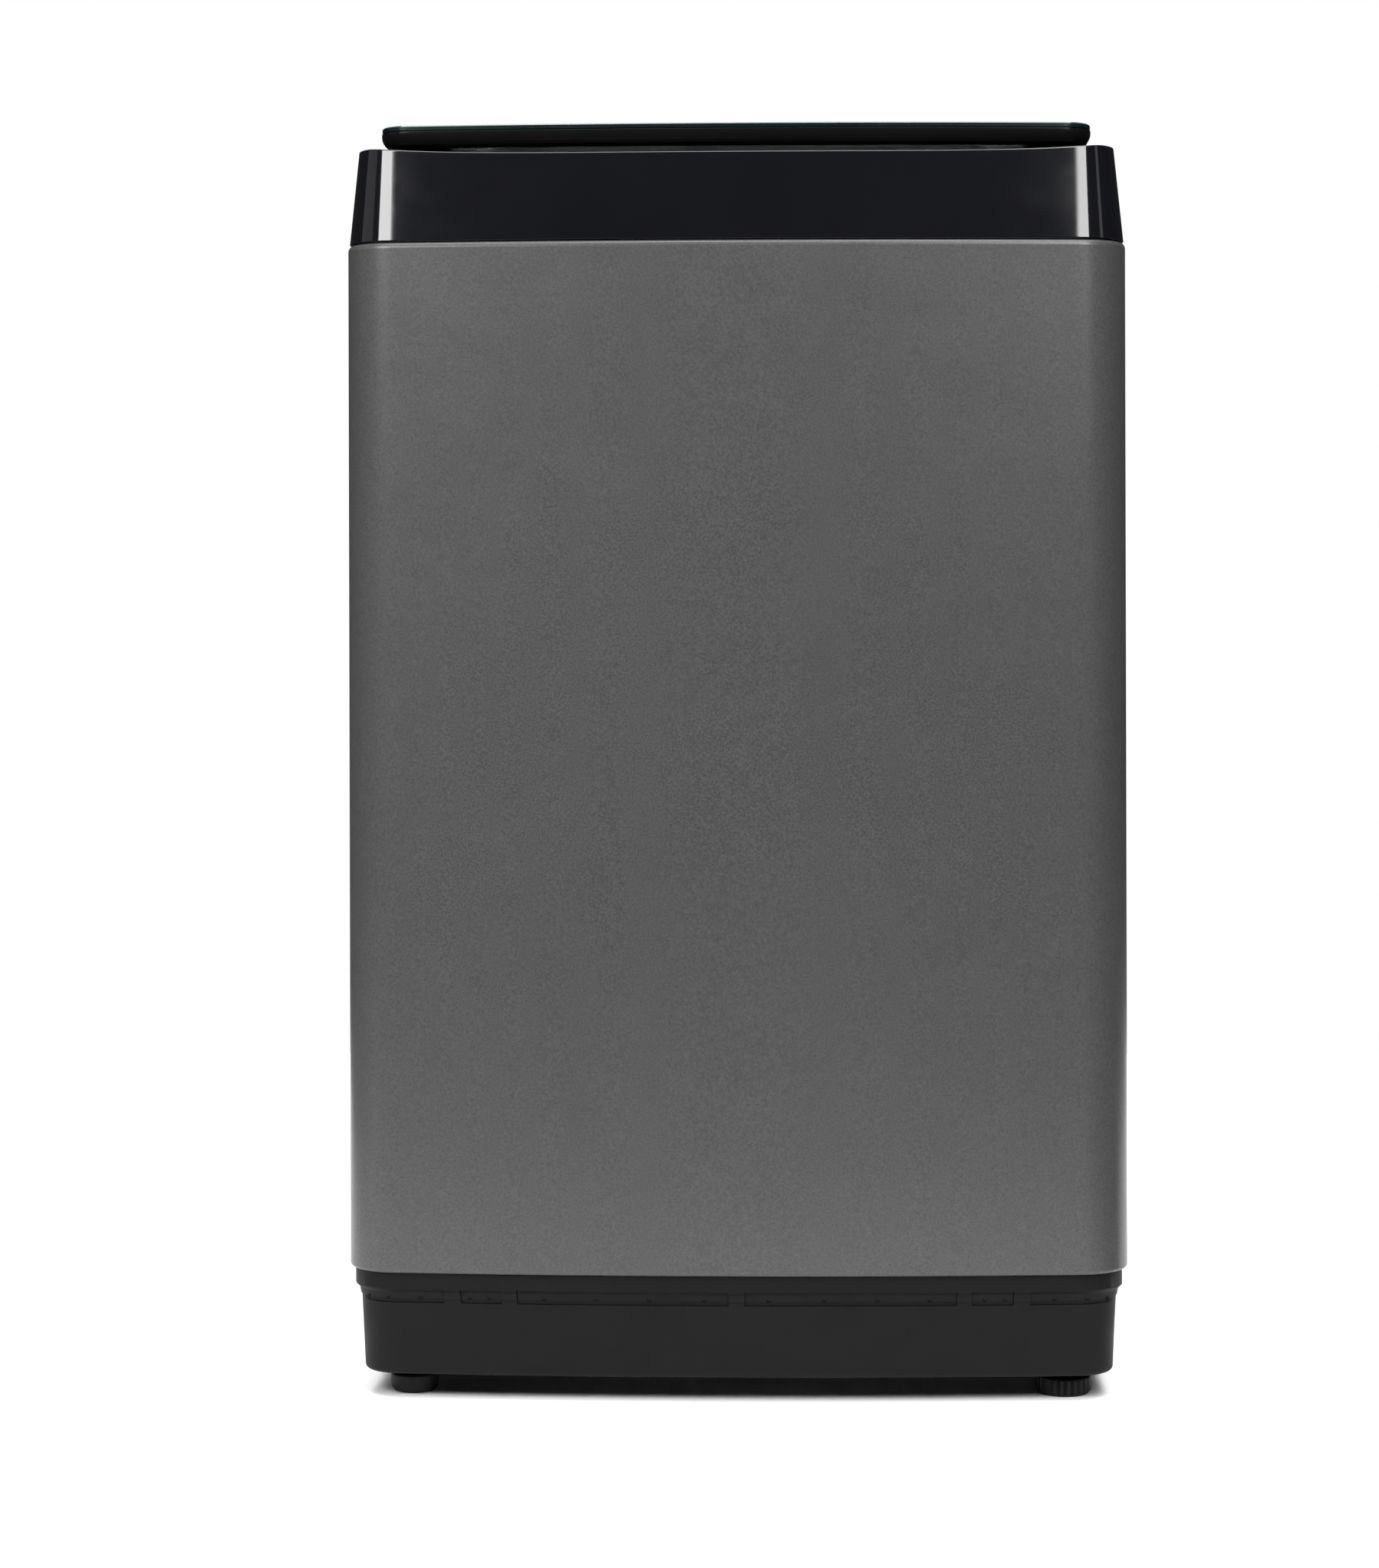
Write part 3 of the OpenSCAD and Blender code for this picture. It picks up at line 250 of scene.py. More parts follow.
glass_edge = finish("glass_edge", (0.003, 0.0075, 0.0072), 0.25, grain=(300, 0.1), rough_spread=0.03,
                    specular=0.2)

# ---------------------------------------------------------------- mesh tools

SAME_PLACE = 1e-7        # vertices closer than this, in metres, are one


def started(name, verts, faces):
    """A new object in the scene, with a mesh of these vertices and faces."""
    mesh = bpy.data.meshes.new(name)
    mesh.from_pydata([tuple(v) for v in verts], [], faces)
    piece = bpy.data.objects.new(name, mesh)
    bpy.context.scene.collection.objects.link(piece)
    return piece


def made(name, verts, faces, mat, body, slot, *replaced, sharp):
    """A finished piece: smooth but for its edges, riding on a body, in place of CAD nodes."""
    piece = started(name, verts, faces)
    work = bmesh.new()
    work.from_mesh(piece.data)
    bmesh.ops.remove_doubles(work, verts=work.verts, dist=SAME_PLACE)
    bmesh.ops.recalc_face_normals(work, faces=work.faces)
    work.to_mesh(piece.data)
    work.free()
    dressed(piece, [mat], slot, *replaced, sharp=sharp)
    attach(piece, body)
    return piece


def dressed(piece, mats, slot, *replaced, sharp):
    """Shading, materials and replaced nodes for a new piece; the slot argument is not used."""
    soften(piece.data, sharp)
    for mat in mats:
        piece.data.materials.append(mat)
    if replaced:
        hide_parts(*replaced)


def soften(mesh, sharp):
    """Smooth shading, with a crease at edges that turn more than sharp degrees."""
    mesh.polygons.foreach_set("use_smooth", [True] * len(mesh.polygons))
    mesh.set_sharp_from_angle(angle=math.radians(sharp))


def grid(rings, around=True, along=False):
    """Vertices and faces of rings of points: around closes each ring, along joins the last to the first."""
    n, m = len(rings[0]), len(rings)
    verts = [p for ring in rings for p in ring]
    faces = []
    for j in range(m if along else m - 1):
        for i in range(n if around else n - 1):
            a, b = j * n + i, j * n + (i + 1) % n
            c, d = (j + 1) % m * n + (i + 1) % n, (j + 1) % m * n + i
            faces.append((a, b, c, d))
    return verts, faces


HOLD_OVER, HOLD = 6 * MM, 0.5 * MM       # straights longer than the first are held this far from each end


def rounded(corners, steps=5):
    """A closed profile from (u, v, radius) corners, with each corner rounded to its radius. Long straights
    get a holding point close to each end, which keeps their shading flat."""
    out = []
    for i, (u, v, r) in enumerate(corners):
        here = np.array((u, v), float)
        if not r:
            out.append(here)
            continue
        back = np.array(corners[i - 1][:2]) - here
        ahead = np.array(corners[(i + 1) % len(corners)][:2]) - here
        back /= np.linalg.norm(back)
        ahead /= np.linalg.norm(ahead)
        half = math.acos(np.clip(back @ ahead, -1, 1)) / 2
        middle = (back + ahead) / np.linalg.norm(back + ahead)
        centre = here + middle * r / math.sin(half)
        first = here + back * r / math.tan(half) - centre
        last = here + ahead * r / math.tan(half) - centre
        a0, a1 = math.atan2(first[1], first[0]), math.atan2(last[1], last[0])
        turn = (a1 - a0 + math.pi) % (2 * math.pi) - math.pi
        for k in range(steps + 1):
            a = a0 + turn * k / steps
            out.append(centre + r * np.array((math.cos(a), math.sin(a))))
    held = []
    for here, after in zip(out, out[1:] + out[:1]):
        held.append(here)
        span = np.linalg.norm(after - here)
        if span > HOLD_OVER:
            held += [here + (after - here) * HOLD / span, after - (after - here) * HOLD / span]
    return [(float(u), float(v)) for u, v in held]


def circle(centre, r, z, count):
    """Points of a level circle."""
    angles = [2 * math.pi * k / count for k in range(count)]
    return [(centre[0] + r * math.cos(a), centre[1] + r * math.sin(a), z) for a in angles]


def turned(profile, count, centre):
    """A closed profile of (radius, z) turned about an upright axis."""
    return grid([circle(centre, r, z, count) for r, z in profile], along=True)


def gathered(parts):
    """Several (verts, faces) as one."""
    verts, faces = [], []
    for v, f in parts:
        faces += [tuple(i + len(verts) for i in face) for face in f]
        verts += list(v)
    return verts, faces


# ---------------------------------------------------------------- plans: outlines seen from above

Plan = namedtuple("Plan", "half_w front_y rear_y front_r rear_r bow_r")
PARTS = ("bow", "corner", "side", "rear", "back")


def spaced(bow=30, corner=22, side=16, rear=6, back=16, extra=()):
    """Places round the right half of a plan, as (part, share of that part), from front to back."""
    counts = dict(bow=bow, corner=corner, side=side, rear=rear, back=back)
    places = [(part, i / counts[part]) for part in PARTS for i in range(counts[part])]
    places = set(places + [("back", 1.0)] + list(extra))
    return sorted(places, key=lambda c: (PARTS.index(c[0]), c[1]))


def plan_point(plan, place, inset):
    """A point of the right half of a plan's outline, moved inwards by inset."""
    part, t = place
    rf, rr = max(plan.front_r - inset, MM), max(plan.rear_r - inset, MM)
    half = math.asin((plan.half_w - inset - rf) / (plan.bow_r - inset - rf))
    bow_y = plan.front_y + plan.bow_r
    front = Vector((plan.half_w - inset - rf, bow_y - (plan.bow_r - inset - rf) * math.cos(half)))
    rear = Vector((plan.half_w - inset - rr, plan.rear_y - inset - rr))
    if part == "bow":
        r = plan.bow_r - inset
        return Vector((r * math.sin(t * half), bow_y - r * math.cos(t * half)))
    if part == "corner":
        a = -math.pi / 2 + half + t * (math.pi / 2 - half)
        return front + rf * Vector((math.cos(a), math.sin(a)))
    if part == "side":
        return Vector((front.x + rf, front.y + t * (rear.y - front.y)))
    if part == "rear":
        return rear + rr * Vector((math.cos(t * math.pi / 2), math.sin(t * math.pi / 2)))
    return Vector((rear.x * (1 - t), rear.y + rr))


def outline(plan, inset, places):
    """The whole outline, anticlockwise from above, from the middle of the front."""
    right = [plan_point(plan, place, inset) for place in places]
    left = [Vector((-p.x, p.y)) for p in reversed(right[1:-1])]
    return right + left


def ring_shell(profile, places, dip=None):
    """A closed profile of (inset, z, plan) swept round its plans. dip(point, z, plan) lowers its points."""
    rings = []
    for inset, z, plan in profile:
        ring = outline(plan, inset, places)
        rings.append([(p.x, p.y, z - (dip(p, z, plan) if dip else 0)) for p in ring])
    return grid(rings, along=True)


# ---------------------------------------------------------------- the machine's plans, from the frame

FRONT_BOW_R, MOUTH_BOW_R = 3.3, 1.2          # of the fronts' slight curve, in metres
FOOT_R = 18 * MM

cab_low, cab_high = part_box("cabinet")
cabinet_plan = Plan(cab_high.x, cab_low.y, cab_high.y, 40 * MM, 8 * MM, FRONT_BOW_R)
lid_low, lid_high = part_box("lid_frame")
lid_plan = Plan(lid_high.x, lid_low.y, lid_high.y, 24 * MM, 10 * MM, FRONT_BOW_R)
funnel_low, funnel_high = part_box("mouth_funnel")
cover_low, cover_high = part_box("top_cover")
mouth_plan = Plan(214 * MM, -262 * MM, 88 * MM, 120 * MM, 40 * MM, MOUTH_BOW_R)
rim_z = cover_high.z
deck_z = rim_z - 5.1 * MM
drum_low, drum_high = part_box("basket_wall")
axis = (0.0, (drum_low.y + drum_high.y) / 2)
foot_low, foot_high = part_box("levelling_foot")
foot_x = (foot_low.x + foot_high.x) / 2
foot_front_y = (foot_low.y + foot_high.y) / 2
foot_rear_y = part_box("fixed_feet")[1].y - FOOT_R


# ---------------------------------------------------------------- cabinet


def cabinet_shell():
    """The wrapped steel sheet, with rolled edges at top and bottom and a return at each rear corner."""
    t, flange = 1.0 * MM, 6.5 * MM
    opening = 276 * MM                   # half the width of the open back
    z0, z1 = cab_low.z, cab_high.z
    profile = rounded([
        (0, z0, 2.6 * MM), (0, z1, 4.6 * MM), (flange, z1, 0.3 * MM), (flange, z1 - t, 0.3 * MM),
        (t, z1 - t, 3.6 * MM), (t, z0 + t, 1.6 * MM), (flange, z0 + t, 0.3 * MM), (flange, z0, 0.3 * MM),
    ])
    last = ("back", 1 - opening / (cab_high.x - cabinet_plan.rear_r))
    right = [p for p in spaced(bow=40, corner=28, side=20, rear=8) if p[0] != "back"]
    right += [("back", 0.0), last]
    rings = []
    for inset, z in profile:
        half = [plan_point(cabinet_plan, place, inset) for place in right]
        rings.append([(p.x, p.y, z) for p in reversed(half)] + [(-p.x, p.y, z) for p in half[1:]])
    verts, faces = grid(rings, around=False, along=True)
    n = len(rings[0])
    faces.append(tuple(j * n for j in range(len(rings))))
    faces.append(tuple(j * n + n - 1 for j in range(len(rings))))
    made("cabinet_shell", verts, faces, paint, "root", "cabinet", "cabinet", sharp=50)


# ---------------------------------------------------------------- base

# In mm across from the middle: the pockets, how wide their end walls are, where they run out, and the plugs
POCKETS = [(6, 165), (176, 207.5), (220, 400)]
POCKET_END = 0.5
RUN_OUT_FROM, RUN_OUT_TO = 262, 284
PLUGS = [24.2, 65.6, 105.4, 144.6, 185.8, 200.7, 238, 262.5, 278]

POCKET_LOW, POCKET_HIGH, POCKET_DEPTH = 73.5 * MM, 82.5 * MM, 1.8 * MM
SKIRT_IN = 7.8 * MM                      # from the cabinet's outline in to the top of the skirt
corner_x = cabinet_plan.half_w - cabinet_plan.front_r        # where the bowed front meets the corners
bow_half = math.asin(corner_x / (cabinet_plan.bow_r - cabinet_plan.front_r))


def front_place(x):
    """The place on the skirt's bowed front at x metres from the middle."""
    return ("bow", math.asin(x / (cabinet_plan.bow_r - SKIRT_IN)) / bow_half)


def pocket_share(x):
    """How deep the pockets are, as a share, at x mm from the middle: they run out round the corners."""
    wall = 0.9 * POCKET_END
    if not any(start + wall < x < end - wall for start, end in POCKETS):
        return 0.0
    return min(1.0, max(0.0, (RUN_OUT_TO - x) / (RUN_OUT_TO - RUN_OUT_FROM)))


def base_shell():
    """The plastic base: a lip, a hollow under it with shallow pockets, and a tapered skirt."""
    low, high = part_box("base_frame")
    z0, z1 = low.z, high.z
    lip, top_in, bottom_in = 4 * MM, SKIRT_IN, 11.3 * MM
    edge = 0.5 * MM
    outer = rounded([
        (lip + 6 * MM, z1, 0), (lip, z1, 0.8 * MM), (lip, z1 - 13 * MM, 0.9 * MM),
        (top_in - 1 * MM, z1 - 15.4 * MM, 3 * MM), (top_in, z1 - 20.5 * MM, 0),
    ])
    skirt_top = outer[-1][1]
    rows = [POCKET_HIGH - edge, POCKET_LOW + edge, POCKET_LOW, POCKET_LOW - edge]
    rows = [z for z in rows if z < skirt_top - 0.2 * MM]
    skirt = [(top_in + (bottom_in - top_in) * (skirt_top - z) / (skirt_top - z0), z) for z in rows]
    lower = rounded([
        (top_in + 2.4 * MM, z0 + 26 * MM, 0), (bottom_in, z0, 3.2 * MM), (bottom_in + 4.5 * MM, z0, 0.8 * MM),
        (top_in + 5 * MM, z1 - 18 * MM, 2 * MM), (30 * MM, z1 - 6 * MM, 1 * MM), (30 * MM, z1, 0.5 * MM),
    ])
    profile = outer + skirt + lower

    ends = [x for start, end in POCKETS for x in (start, start + POCKET_END, end - POCKET_END, end)]
    extra = [front_place(x * MM) for x in ends if x * MM < corner_x]
    places = spaced(bow=60, corner=30, side=20, rear=8, extra=extra)
    shares = []
    for part, t in places:
        in_front = part in ("bow", "corner") or (part == "side" and t < 0.06)
        x = plan_point(cabinet_plan, (part, t), top_in).x / MM
        shares.append(pocket_share(x) if in_front else 0.0)
    shares += reversed(shares[1:-1])
    rings = []
    for inset, z in profile:
        ring = outline(cabinet_plan, inset, places)
        if POCKET_LOW + 0.3 * MM < z < POCKET_HIGH + 2 * MM and inset < top_in + 3 * MM:
            sunk = outline(cabinet_plan, inset + POCKET_DEPTH, places)
            ring = [p.lerp(q, share) for p, q, share in zip(ring, sunk, shares)]
        rings.append([(p.x, p.y, z) for p in ring])
    base = gathered([grid(rings, along=True)] + base_bosses())
    made("base_shell", *base, base_black, "root", "base_plastic", "base_frame", sharp=40)


def base_plugs():
    """The row of small plugs in the pockets' floors, coloured near-black as painted shade."""
    spots = []
    for x in PLUGS:
        sink = SKIRT_IN + POCKET_DEPTH * pocket_share(x)
        if x * MM < corner_x - 1 * MM:
            p = plan_point(cabinet_plan, front_place(x * MM), sink)
            turn = x * MM / cabinet_plan.bow_r
            facing = Vector((math.sin(turn), -math.cos(turn), 0))
        else:
            a = math.acos((x * MM - corner_x) / (cabinet_plan.front_r - sink))
            t = 1 - a / (math.pi / 2 - bow_half)
            p = plan_point(cabinet_plan, ("corner", t), sink)
            facing = Vector((math.cos(a), -math.sin(a), 0))
        spots.append((Vector((p.x, p.y, (POCKET_LOW + POCKET_HIGH) / 2)), facing))
    plugs = [plug(at * Vector((side, 1, 1)), facing * Vector((side, 1, 1)))
             for side in (-1, 1) for at, facing in spots]
    made("base_plugs", *gathered(plugs), plug_painted_shade, "root", "base_plastic", sharp=40)


def plug(at, facing):
    """A small plug with a dished middle, in a pocket's floor; its near-black colour is painted shade."""
    profile = [(1.7, -0.4), (1.7, 0.25), (1.5, 0.45), (1.15, 0.4), (0.8, 0.2), (0.3, 0.1)]
    count = 14
    turn = facing.to_track_quat("Z", "Y")
    rings = [[at + turn @ Vector(p) for p in circle((0, 0), r * MM, h * MM, count)] for r, h in profile]
    verts, faces = grid(rings)
    n = len(verts)
    return verts, faces + [tuple(range(n - count, n)), tuple(range(count))]


def base_bosses():
    """The four foot bosses under the base, with their ribs."""
    boss_r, hole_r, low_z, high_z = 16 * MM, 5.05 * MM, 28 * MM, 62 * MM
    rib, rib_z, skirt = 3 * MM, 40 * MM, 12 * MM
    profile = rounded([
        (boss_r, low_z, 1 * MM), (boss_r, high_z, 1 * MM), (hole_r, high_z, 0), (hole_r, low_z, 0),
    ], 3)
    sag = cabinet_plan.bow_r - math.sqrt(cabinet_plan.bow_r ** 2 - foot_x ** 2)
    rows = ((-1, foot_front_y, cab_low.y + sag + skirt), (1, foot_rear_y, cab_high.y - skirt))
    parts = []
    for sx in (-1, 1):
        for sy, y, end_y in rows:
            x = sx * foot_x
            parts.append(turned(profile, 40, (x, y)))
            parts.append(slab((x + sx * 14 * MM, y - rib, rib_z), (sx * 283 * MM, y + rib, high_z)))
            parts.append(slab((x - rib, y + sy * 14 * MM, rib_z), (x + rib, end_y, high_z)))
    return parts


def slab(a, b):
    """A plain box between two opposite corners."""
    low = [min(p, q) for p, q in zip(a, b)]
    high = [max(p, q) for p, q in zip(a, b)]
    corners = [(x, y, z) for z in (low[2], high[2]) for x, y in
               ((low[0], low[1]), (high[0], low[1]), (high[0], high[1]), (low[0], high[1]))]
    faces = [(0, 3, 2, 1), (4, 5, 6, 7), (0, 1, 5, 4), (1, 2, 6, 5), (2, 3, 7, 6), (3, 0, 4, 7)]
    return corners, faces


# ---------------------------------------------------------------- feet

CORE_R, STEM_R = 0.2 * MM, 5 * MM        # of the closed middle of a foot, and of its stem


def feet():
    """Three round rubber feet."""
    profile = rounded([
        (CORE_R, 0, 0), (FOOT_R, 0, 5 * MM), (FOOT_R, 13.5 * MM, 1.6 * MM), (12 * MM, 15.2 * MM, 0.6 * MM),
        (12 * MM, 28 * MM, 0.8 * MM), (STEM_R, 28 * MM, 0.3 * MM), (STEM_R, 54 * MM, 0.8 * MM),
        (CORE_R, 54 * MM, 0),
    ])
    places = ((-foot_x, foot_front_y), (-foot_x, foot_rear_y), (foot_x, foot_rear_y))
    parts = [turned(profile, 64, place) for place in places]
    made("rubber_feet", *gathered(parts), rubber, "root", "foot_rubber", "fixed_feet", sharp=32)


def ribbed_foot():
    """The levelling foot, with grip ribs round it."""
    r = (foot_high.x - foot_low.x) / 2
    ribs, groove = 24, 1.6 * MM
    count = ribs * 8
    profile = rounded([
        (CORE_R, 0, 0), (r - 2 * MM, 0, 2 * MM), (r, 2.5 * MM, 1 * MM), (r, 13 * MM, 1.2 * MM),
        (12 * MM, 14 * MM, 1 * MM), (STEM_R, 15 * MM, 0.5 * MM), (STEM_R, foot_high.z, 0.8 * MM),
        (CORE_R, foot_high.z, 0),
    ])
    rings = []
    for radius, z in profile:
        grooved = radius > r - 4 * MM and z > 1.5 * MM
        ring = []
        for k in range(count):
            a = 2 * math.pi * k / count
            here = radius - (groove * max(0.0, math.cos(ribs * a)) ** 0.7 if grooved else 0)
            ring.append((foot_x + here * math.cos(a), foot_front_y + here * math.sin(a), z))
        rings.append(ring)
    made("ribbed_foot", *grid(rings, along=True), rubber, "foot", "foot_rubber", "levelling_foot", sharp=45)


# ---------------------------------------------------------------- top cover and funnel

DIP_HALF_W = 276 * MM                    # half the width of the sunk stretch
DIP_FROM_Y, DIP_OVER = -200 * MM, 50 * MM        # where it starts towards the front, and over what length
DECK_T = 3.2 * MM


def rim_dip(p, z, plan):
    """The cover sinks along the middle of its front edge, and a little less at the mouth."""
    if plan is mouth_plan:
        most = 3 * MM if z in (deck_z, deck_z - DECK_T) else 0
    else:
        most = 5 * MM * min(1.0, max(0.0, (z - cover_low.z - 1 * MM) / (62 * MM)))
    across = max(0.0, 1 - abs(p.x / DIP_HALF_W) ** 5)
    return most * across * min(1.0, max(0.0, (DIP_FROM_Y - p.y) / DIP_OVER))


def cover_shell():
    """The gloss cover: a tapered band, a narrow rim, the deck, and the lip of the mouth."""
    z0 = cover_low.z + 0.4 * MM
    deck_in = 24 * MM
    outer = [
        (1.2 * MM, z0, 0.5 * MM), (8.6 * MM, rim_z, 1.2 * MM), (12.4 * MM, rim_z, 1.0 * MM),
        (13.8 * MM, deck_z, 1.2 * MM), (deck_in, deck_z, 0),
    ]
    inner = [(deck_in, deck_z - DECK_T, 0), (12 * MM, deck_z - 5 * MM, 1 * MM), (4.2 * MM, z0, 0.3 * MM)]
    profile = [(u, v, cabinet_plan) for u, v in rounded(outer + inner)]
    split = next(i for i, p in enumerate(profile) if abs(p[0] - deck_in) < 1e-9) + 1
    mouth = rounded([
        (-6 * MM, deck_z, 0), (0, deck_z, 2.4 * MM), (0, deck_z - 5 * MM, 0.4 * MM),
        (-1.4 * MM, deck_z - 5 * MM, 0), (-6 * MM, deck_z - DECK_T, 0),
    ])
    profile[split:split] = [(u, v, mouth_plan) for u, v in mouth]
    places = spaced(bow=60, corner=30, side=24, rear=10, back=20)
    shell = ring_shell(profile, places, rim_dip)
    made("cover_shell", *shell, gloss, "root", "cover_gloss", "top_cover", sharp=35)


def cut(piece, *tools):
    """Takes each tool's shape away from a piece for good."""
    for tool in tools:
        change = piece.modifiers.new("cut", "BOOLEAN")
        change.operation = "DIFFERENCE"
        change.solver = "EXACT"
        change.object = tool
    bpy.context.view_layer.update()
    seen = piece.evaluated_get(bpy.context.evaluated_depsgraph_get())
    mesh = bpy.data.meshes.new_from_object(seen)
    old = piece.data
    piece.modifiers.clear()
    piece.data = mesh
    bpy.data.meshes.remove(old)
    for tool in tools:
        bpy.data.objects.remove(tool)


def funnel_shell():
    """The moulded chute between the mouth and the tub, with the drawer's opening in its rear wall."""
    z1, z0 = funnel_high.z, funnel_low.z
    profile = rounded([
        (-1.4 * MM, z1, 0.3 * MM), (1.6 * MM, z1, 1 * MM), (4.5 * MM, z1 - 6 * MM, 4 * MM),
        (9.5 * MM, z0 + 1 * MM, 1.4 * MM), (8 * MM, z0, 0.6 * MM), (7 * MM, z0 + 1 * MM, 0.3 * MM),
        (1.8 * MM, z1 - 8 * MM, 3 * MM),
    ], 4)
    shell = ring_shell([(u, v, mouth_plan) for u, v in profile],
                       spaced(bow=20, corner=26, side=10, rear=12, back=14))
    piece = made("chute_shell", *shell, tub_plastic, "root", "tub_plastic", "mouth_funnel", sharp=35)
    low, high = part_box("detergent_drawer")
    gap = 2 * MM
    front, back = 60 * MM, 95 * MM       # either side of the rear wall
    hole = slab((low.x - gap, front, low.z - gap), (high.x + gap, back, high.z + gap))
    cut(piece, started("drawer_gap", *hole))
    soften(piece.data, 35)


# ---------------------------------------------------------------- lid


def lid_tray():
    """The dished frame under the glass, with a block for each hinge pin."""
    glass_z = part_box("lid_glass")[0].z
    z0 = lid_low.z
    wide, t = 46 * MM, 2.5 * MM
    outer = [
        (3 * MM, glass_z, 0), (0, glass_z, 0.4 * MM), (0, z0, 10 * MM), (wide, z0, 1.2 * MM),
        (wide, glass_z, 0.4 * MM), (wide - t, glass_z, 0.3 * MM), (wide - t, z0 + t, 1 * MM),
        (3 * MM, z0 + t, 8 * MM),
    ]
    profile = [(u, v, lid_plan) for u, v in rounded(outer, 9)]
    parts = [ring_shell(profile, spaced(bow=40, rear=10))]
    pin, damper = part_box("hinge_pins"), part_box("hinge_dampers")
    pin_y, pin_z = (pin[0].y + pin[1].y) / 2, (pin[0].z + pin[1].z) / 2
    bore_r = (damper[1].z - damper[0].z) / 2 + 0.02 * MM
    for side in (-1, 1):
        parts.append(slab((side * 234 * MM, pin_y - 9 * MM, z0 + 1 * MM),
                          (side * 262.2 * MM, pin_y + 6.5 * MM, glass_z - 0.1 * MM)))
    piece = made("lid_tray", *gathered(parts), lid_gloss, "lid", "lid_gloss", "lid_frame", sharp=35)
    bores = [barrel((side * 236 * MM, pin_y, pin_z), (side * 300 * MM, pin_y, pin_z), bore_r, 40)
             for side in (-1, 1)]
    cut(piece, *[started("pin_bore", *bore) for bore in bores])
    soften(piece.data, 35)


def barrel(a, b, r, count):
    """A plain closed cylinder between two points, as a cutting shape."""
    a, b = Vector(a), Vector(b)
    turn = (b - a).to_track_quat("Z", "Y")
    verts, faces = grid([[end + turn @ Vector(p) for p in circle((0, 0), r, 0, count)] for end in (a, b)])
    return verts, faces + [tuple(reversed(range(count))), tuple(range(count, 2 * count))]


def glass_sheet():
    """The lid's dark glass, with ground edges."""
    low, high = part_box("lid_glass")
    places = spaced(bow=40, rear=10)
    gap, ease = 0.4 * MM, 0.9 * MM
    profile = ((gap + ease, low.z), (gap, low.z + ease), (gap, high.z - ease), (gap + ease, high.z))
    rings = [[(p.x, p.y, z) for p in outline(lid_plan, inset, places)] for inset, z in profile]
    verts, faces = grid(rings)
    n = len(rings[0])
    faces += [tuple(reversed(range(n))), tuple(range(3 * n, 4 * n))]
    piece = started("glass_sheet", verts, faces)
    dressed(piece, [glass_edge, glass_bevel, glass_tint], "tinted_glass", "lid_glass", sharp=30)
    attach(piece, "lid")
    for face in piece.data.polygons[2 * n:]:     # the upper bevel, then the underside and the top
        face.material_index = 1 if face.index < 3 * n else 2


# ---------------------------------------------------------------- marks on the console

# The sloped panel's front edge and slope, as in the part, and how far up the slope the keys and marks lie
PANEL_Y, PANEL_Z, PANEL_TILT = 135 * MM, 962 * MM, math.radians(11)
LINE_V, LAMP_V, KEY_V, MARK_V = 74 * MM, 65 * MM, 50 * MM, 35 * MM
PRINT_T, LENS_T, SUNK = 0.12 * MM, 0.3 * MM, 0.05 * MM


def on_panel(x, v, w):
    """A point of the sloped panel: across it, up its slope, and off its face."""
    c, s = math.cos(PANEL_TILT), math.sin(PANEL_TILT)
    return x, PANEL_Y + v * c - w * s, PANEL_Z + v * s + w * c


def raised(points, thick):
    """A thin flat print or lens on the panel, of an outline of (x, v) points."""
    n = len(points)
    verts, faces = grid([[on_panel(x, v, w) for x, v in points] for w in (-SUNK, thick)])
    return verts, faces + [tuple(reversed(range(n))), tuple(range(n, 2 * n))]


def arc(x, v, r, start=0, end=360, count=24):
    """Points of an arc about (x, v), from one angle in degrees to the other."""
    turns = [math.radians(start + (end - start) * k / count) for k in range(count + 1)]
    return [(x + r * math.cos(a), v + r * math.sin(a)) for a in turns]


def bar(x, v, w, h):
    """A bar with round ends about (x, v)."""
    r = h / 2
    return arc(x + w / 2 - r, v, r, -90, 90, 8) + arc(x - w / 2 + r, v, r, 90, 270, 8)


def power_ring(x, v):
    """An open ring with a short stroke in its gap."""
    half, up = 0.3 * MM, 3.6 * MM
    ring = arc(x, v, 3.4 * MM, 120, 420) + arc(x, v, 2.8 * MM, 420, 120)
    return [ring, [(x - half, v), (x + half, v), (x + half, v + up), (x - half, v + up)]]


def start_triangle(x, v):
    """A triangle that points right."""
    left, right, half = x - 2.6 * MM, x + 3.2 * MM, 3 * MM
    return [[(left, v - half), (right, v), (left, v + half)]]


def panel_marks():
    """Plain printed marks under the keys, a lamp over each, and lit bars in the window."""
    prints, lamps = [], []
    for name in [n for n in nodes if n.startswith("button_")]:
        low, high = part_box(name)
        x = (low.x + high.x) / 2
        lamps.append(raised(arc(x, LAMP_V, 1.3 * MM)[:-1], LENS_T))
        if name == "button_power":
            marks = power_ring(x, MARK_V)
        elif name == "button_start":
            marks = start_triangle(x, MARK_V)
        else:
            marks = [bar(x, MARK_V, 15 * MM, 0.9 * MM)]
        prints += [raised(mark, PRINT_T) for mark in marks]
    left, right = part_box("button_program")[0].x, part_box("button_spin")[1].x
    prints.append(raised(bar((left + right) / 2, LINE_V, right - left, 0.6 * MM), PRINT_T))
    low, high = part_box("display_window")
    middle, step = (low.x + high.x) / 2, 16 * MM
    bars = [bar(middle + (k - 3) * step, KEY_V - 12 * MM, 8 * MM, 1.2 * MM) for k in range(7)]
    bars += [bar(middle + side * 11 * MM, KEY_V + up, 11 * MM, 1.3 * MM)
             for side in (-1, 1) for up in (-1 * MM, 7 * MM)]
    lamps += [raised(points, PRINT_T) for points in bars]
    made("panel_prints", *gathered(prints), print_grey, "root", "white_nylon", sharp=30)
    made("panel_lamps", *gathered(lamps), lamp_blue, "root", "white_nylon", sharp=30)


# ---------------------------------------------------------------- drum


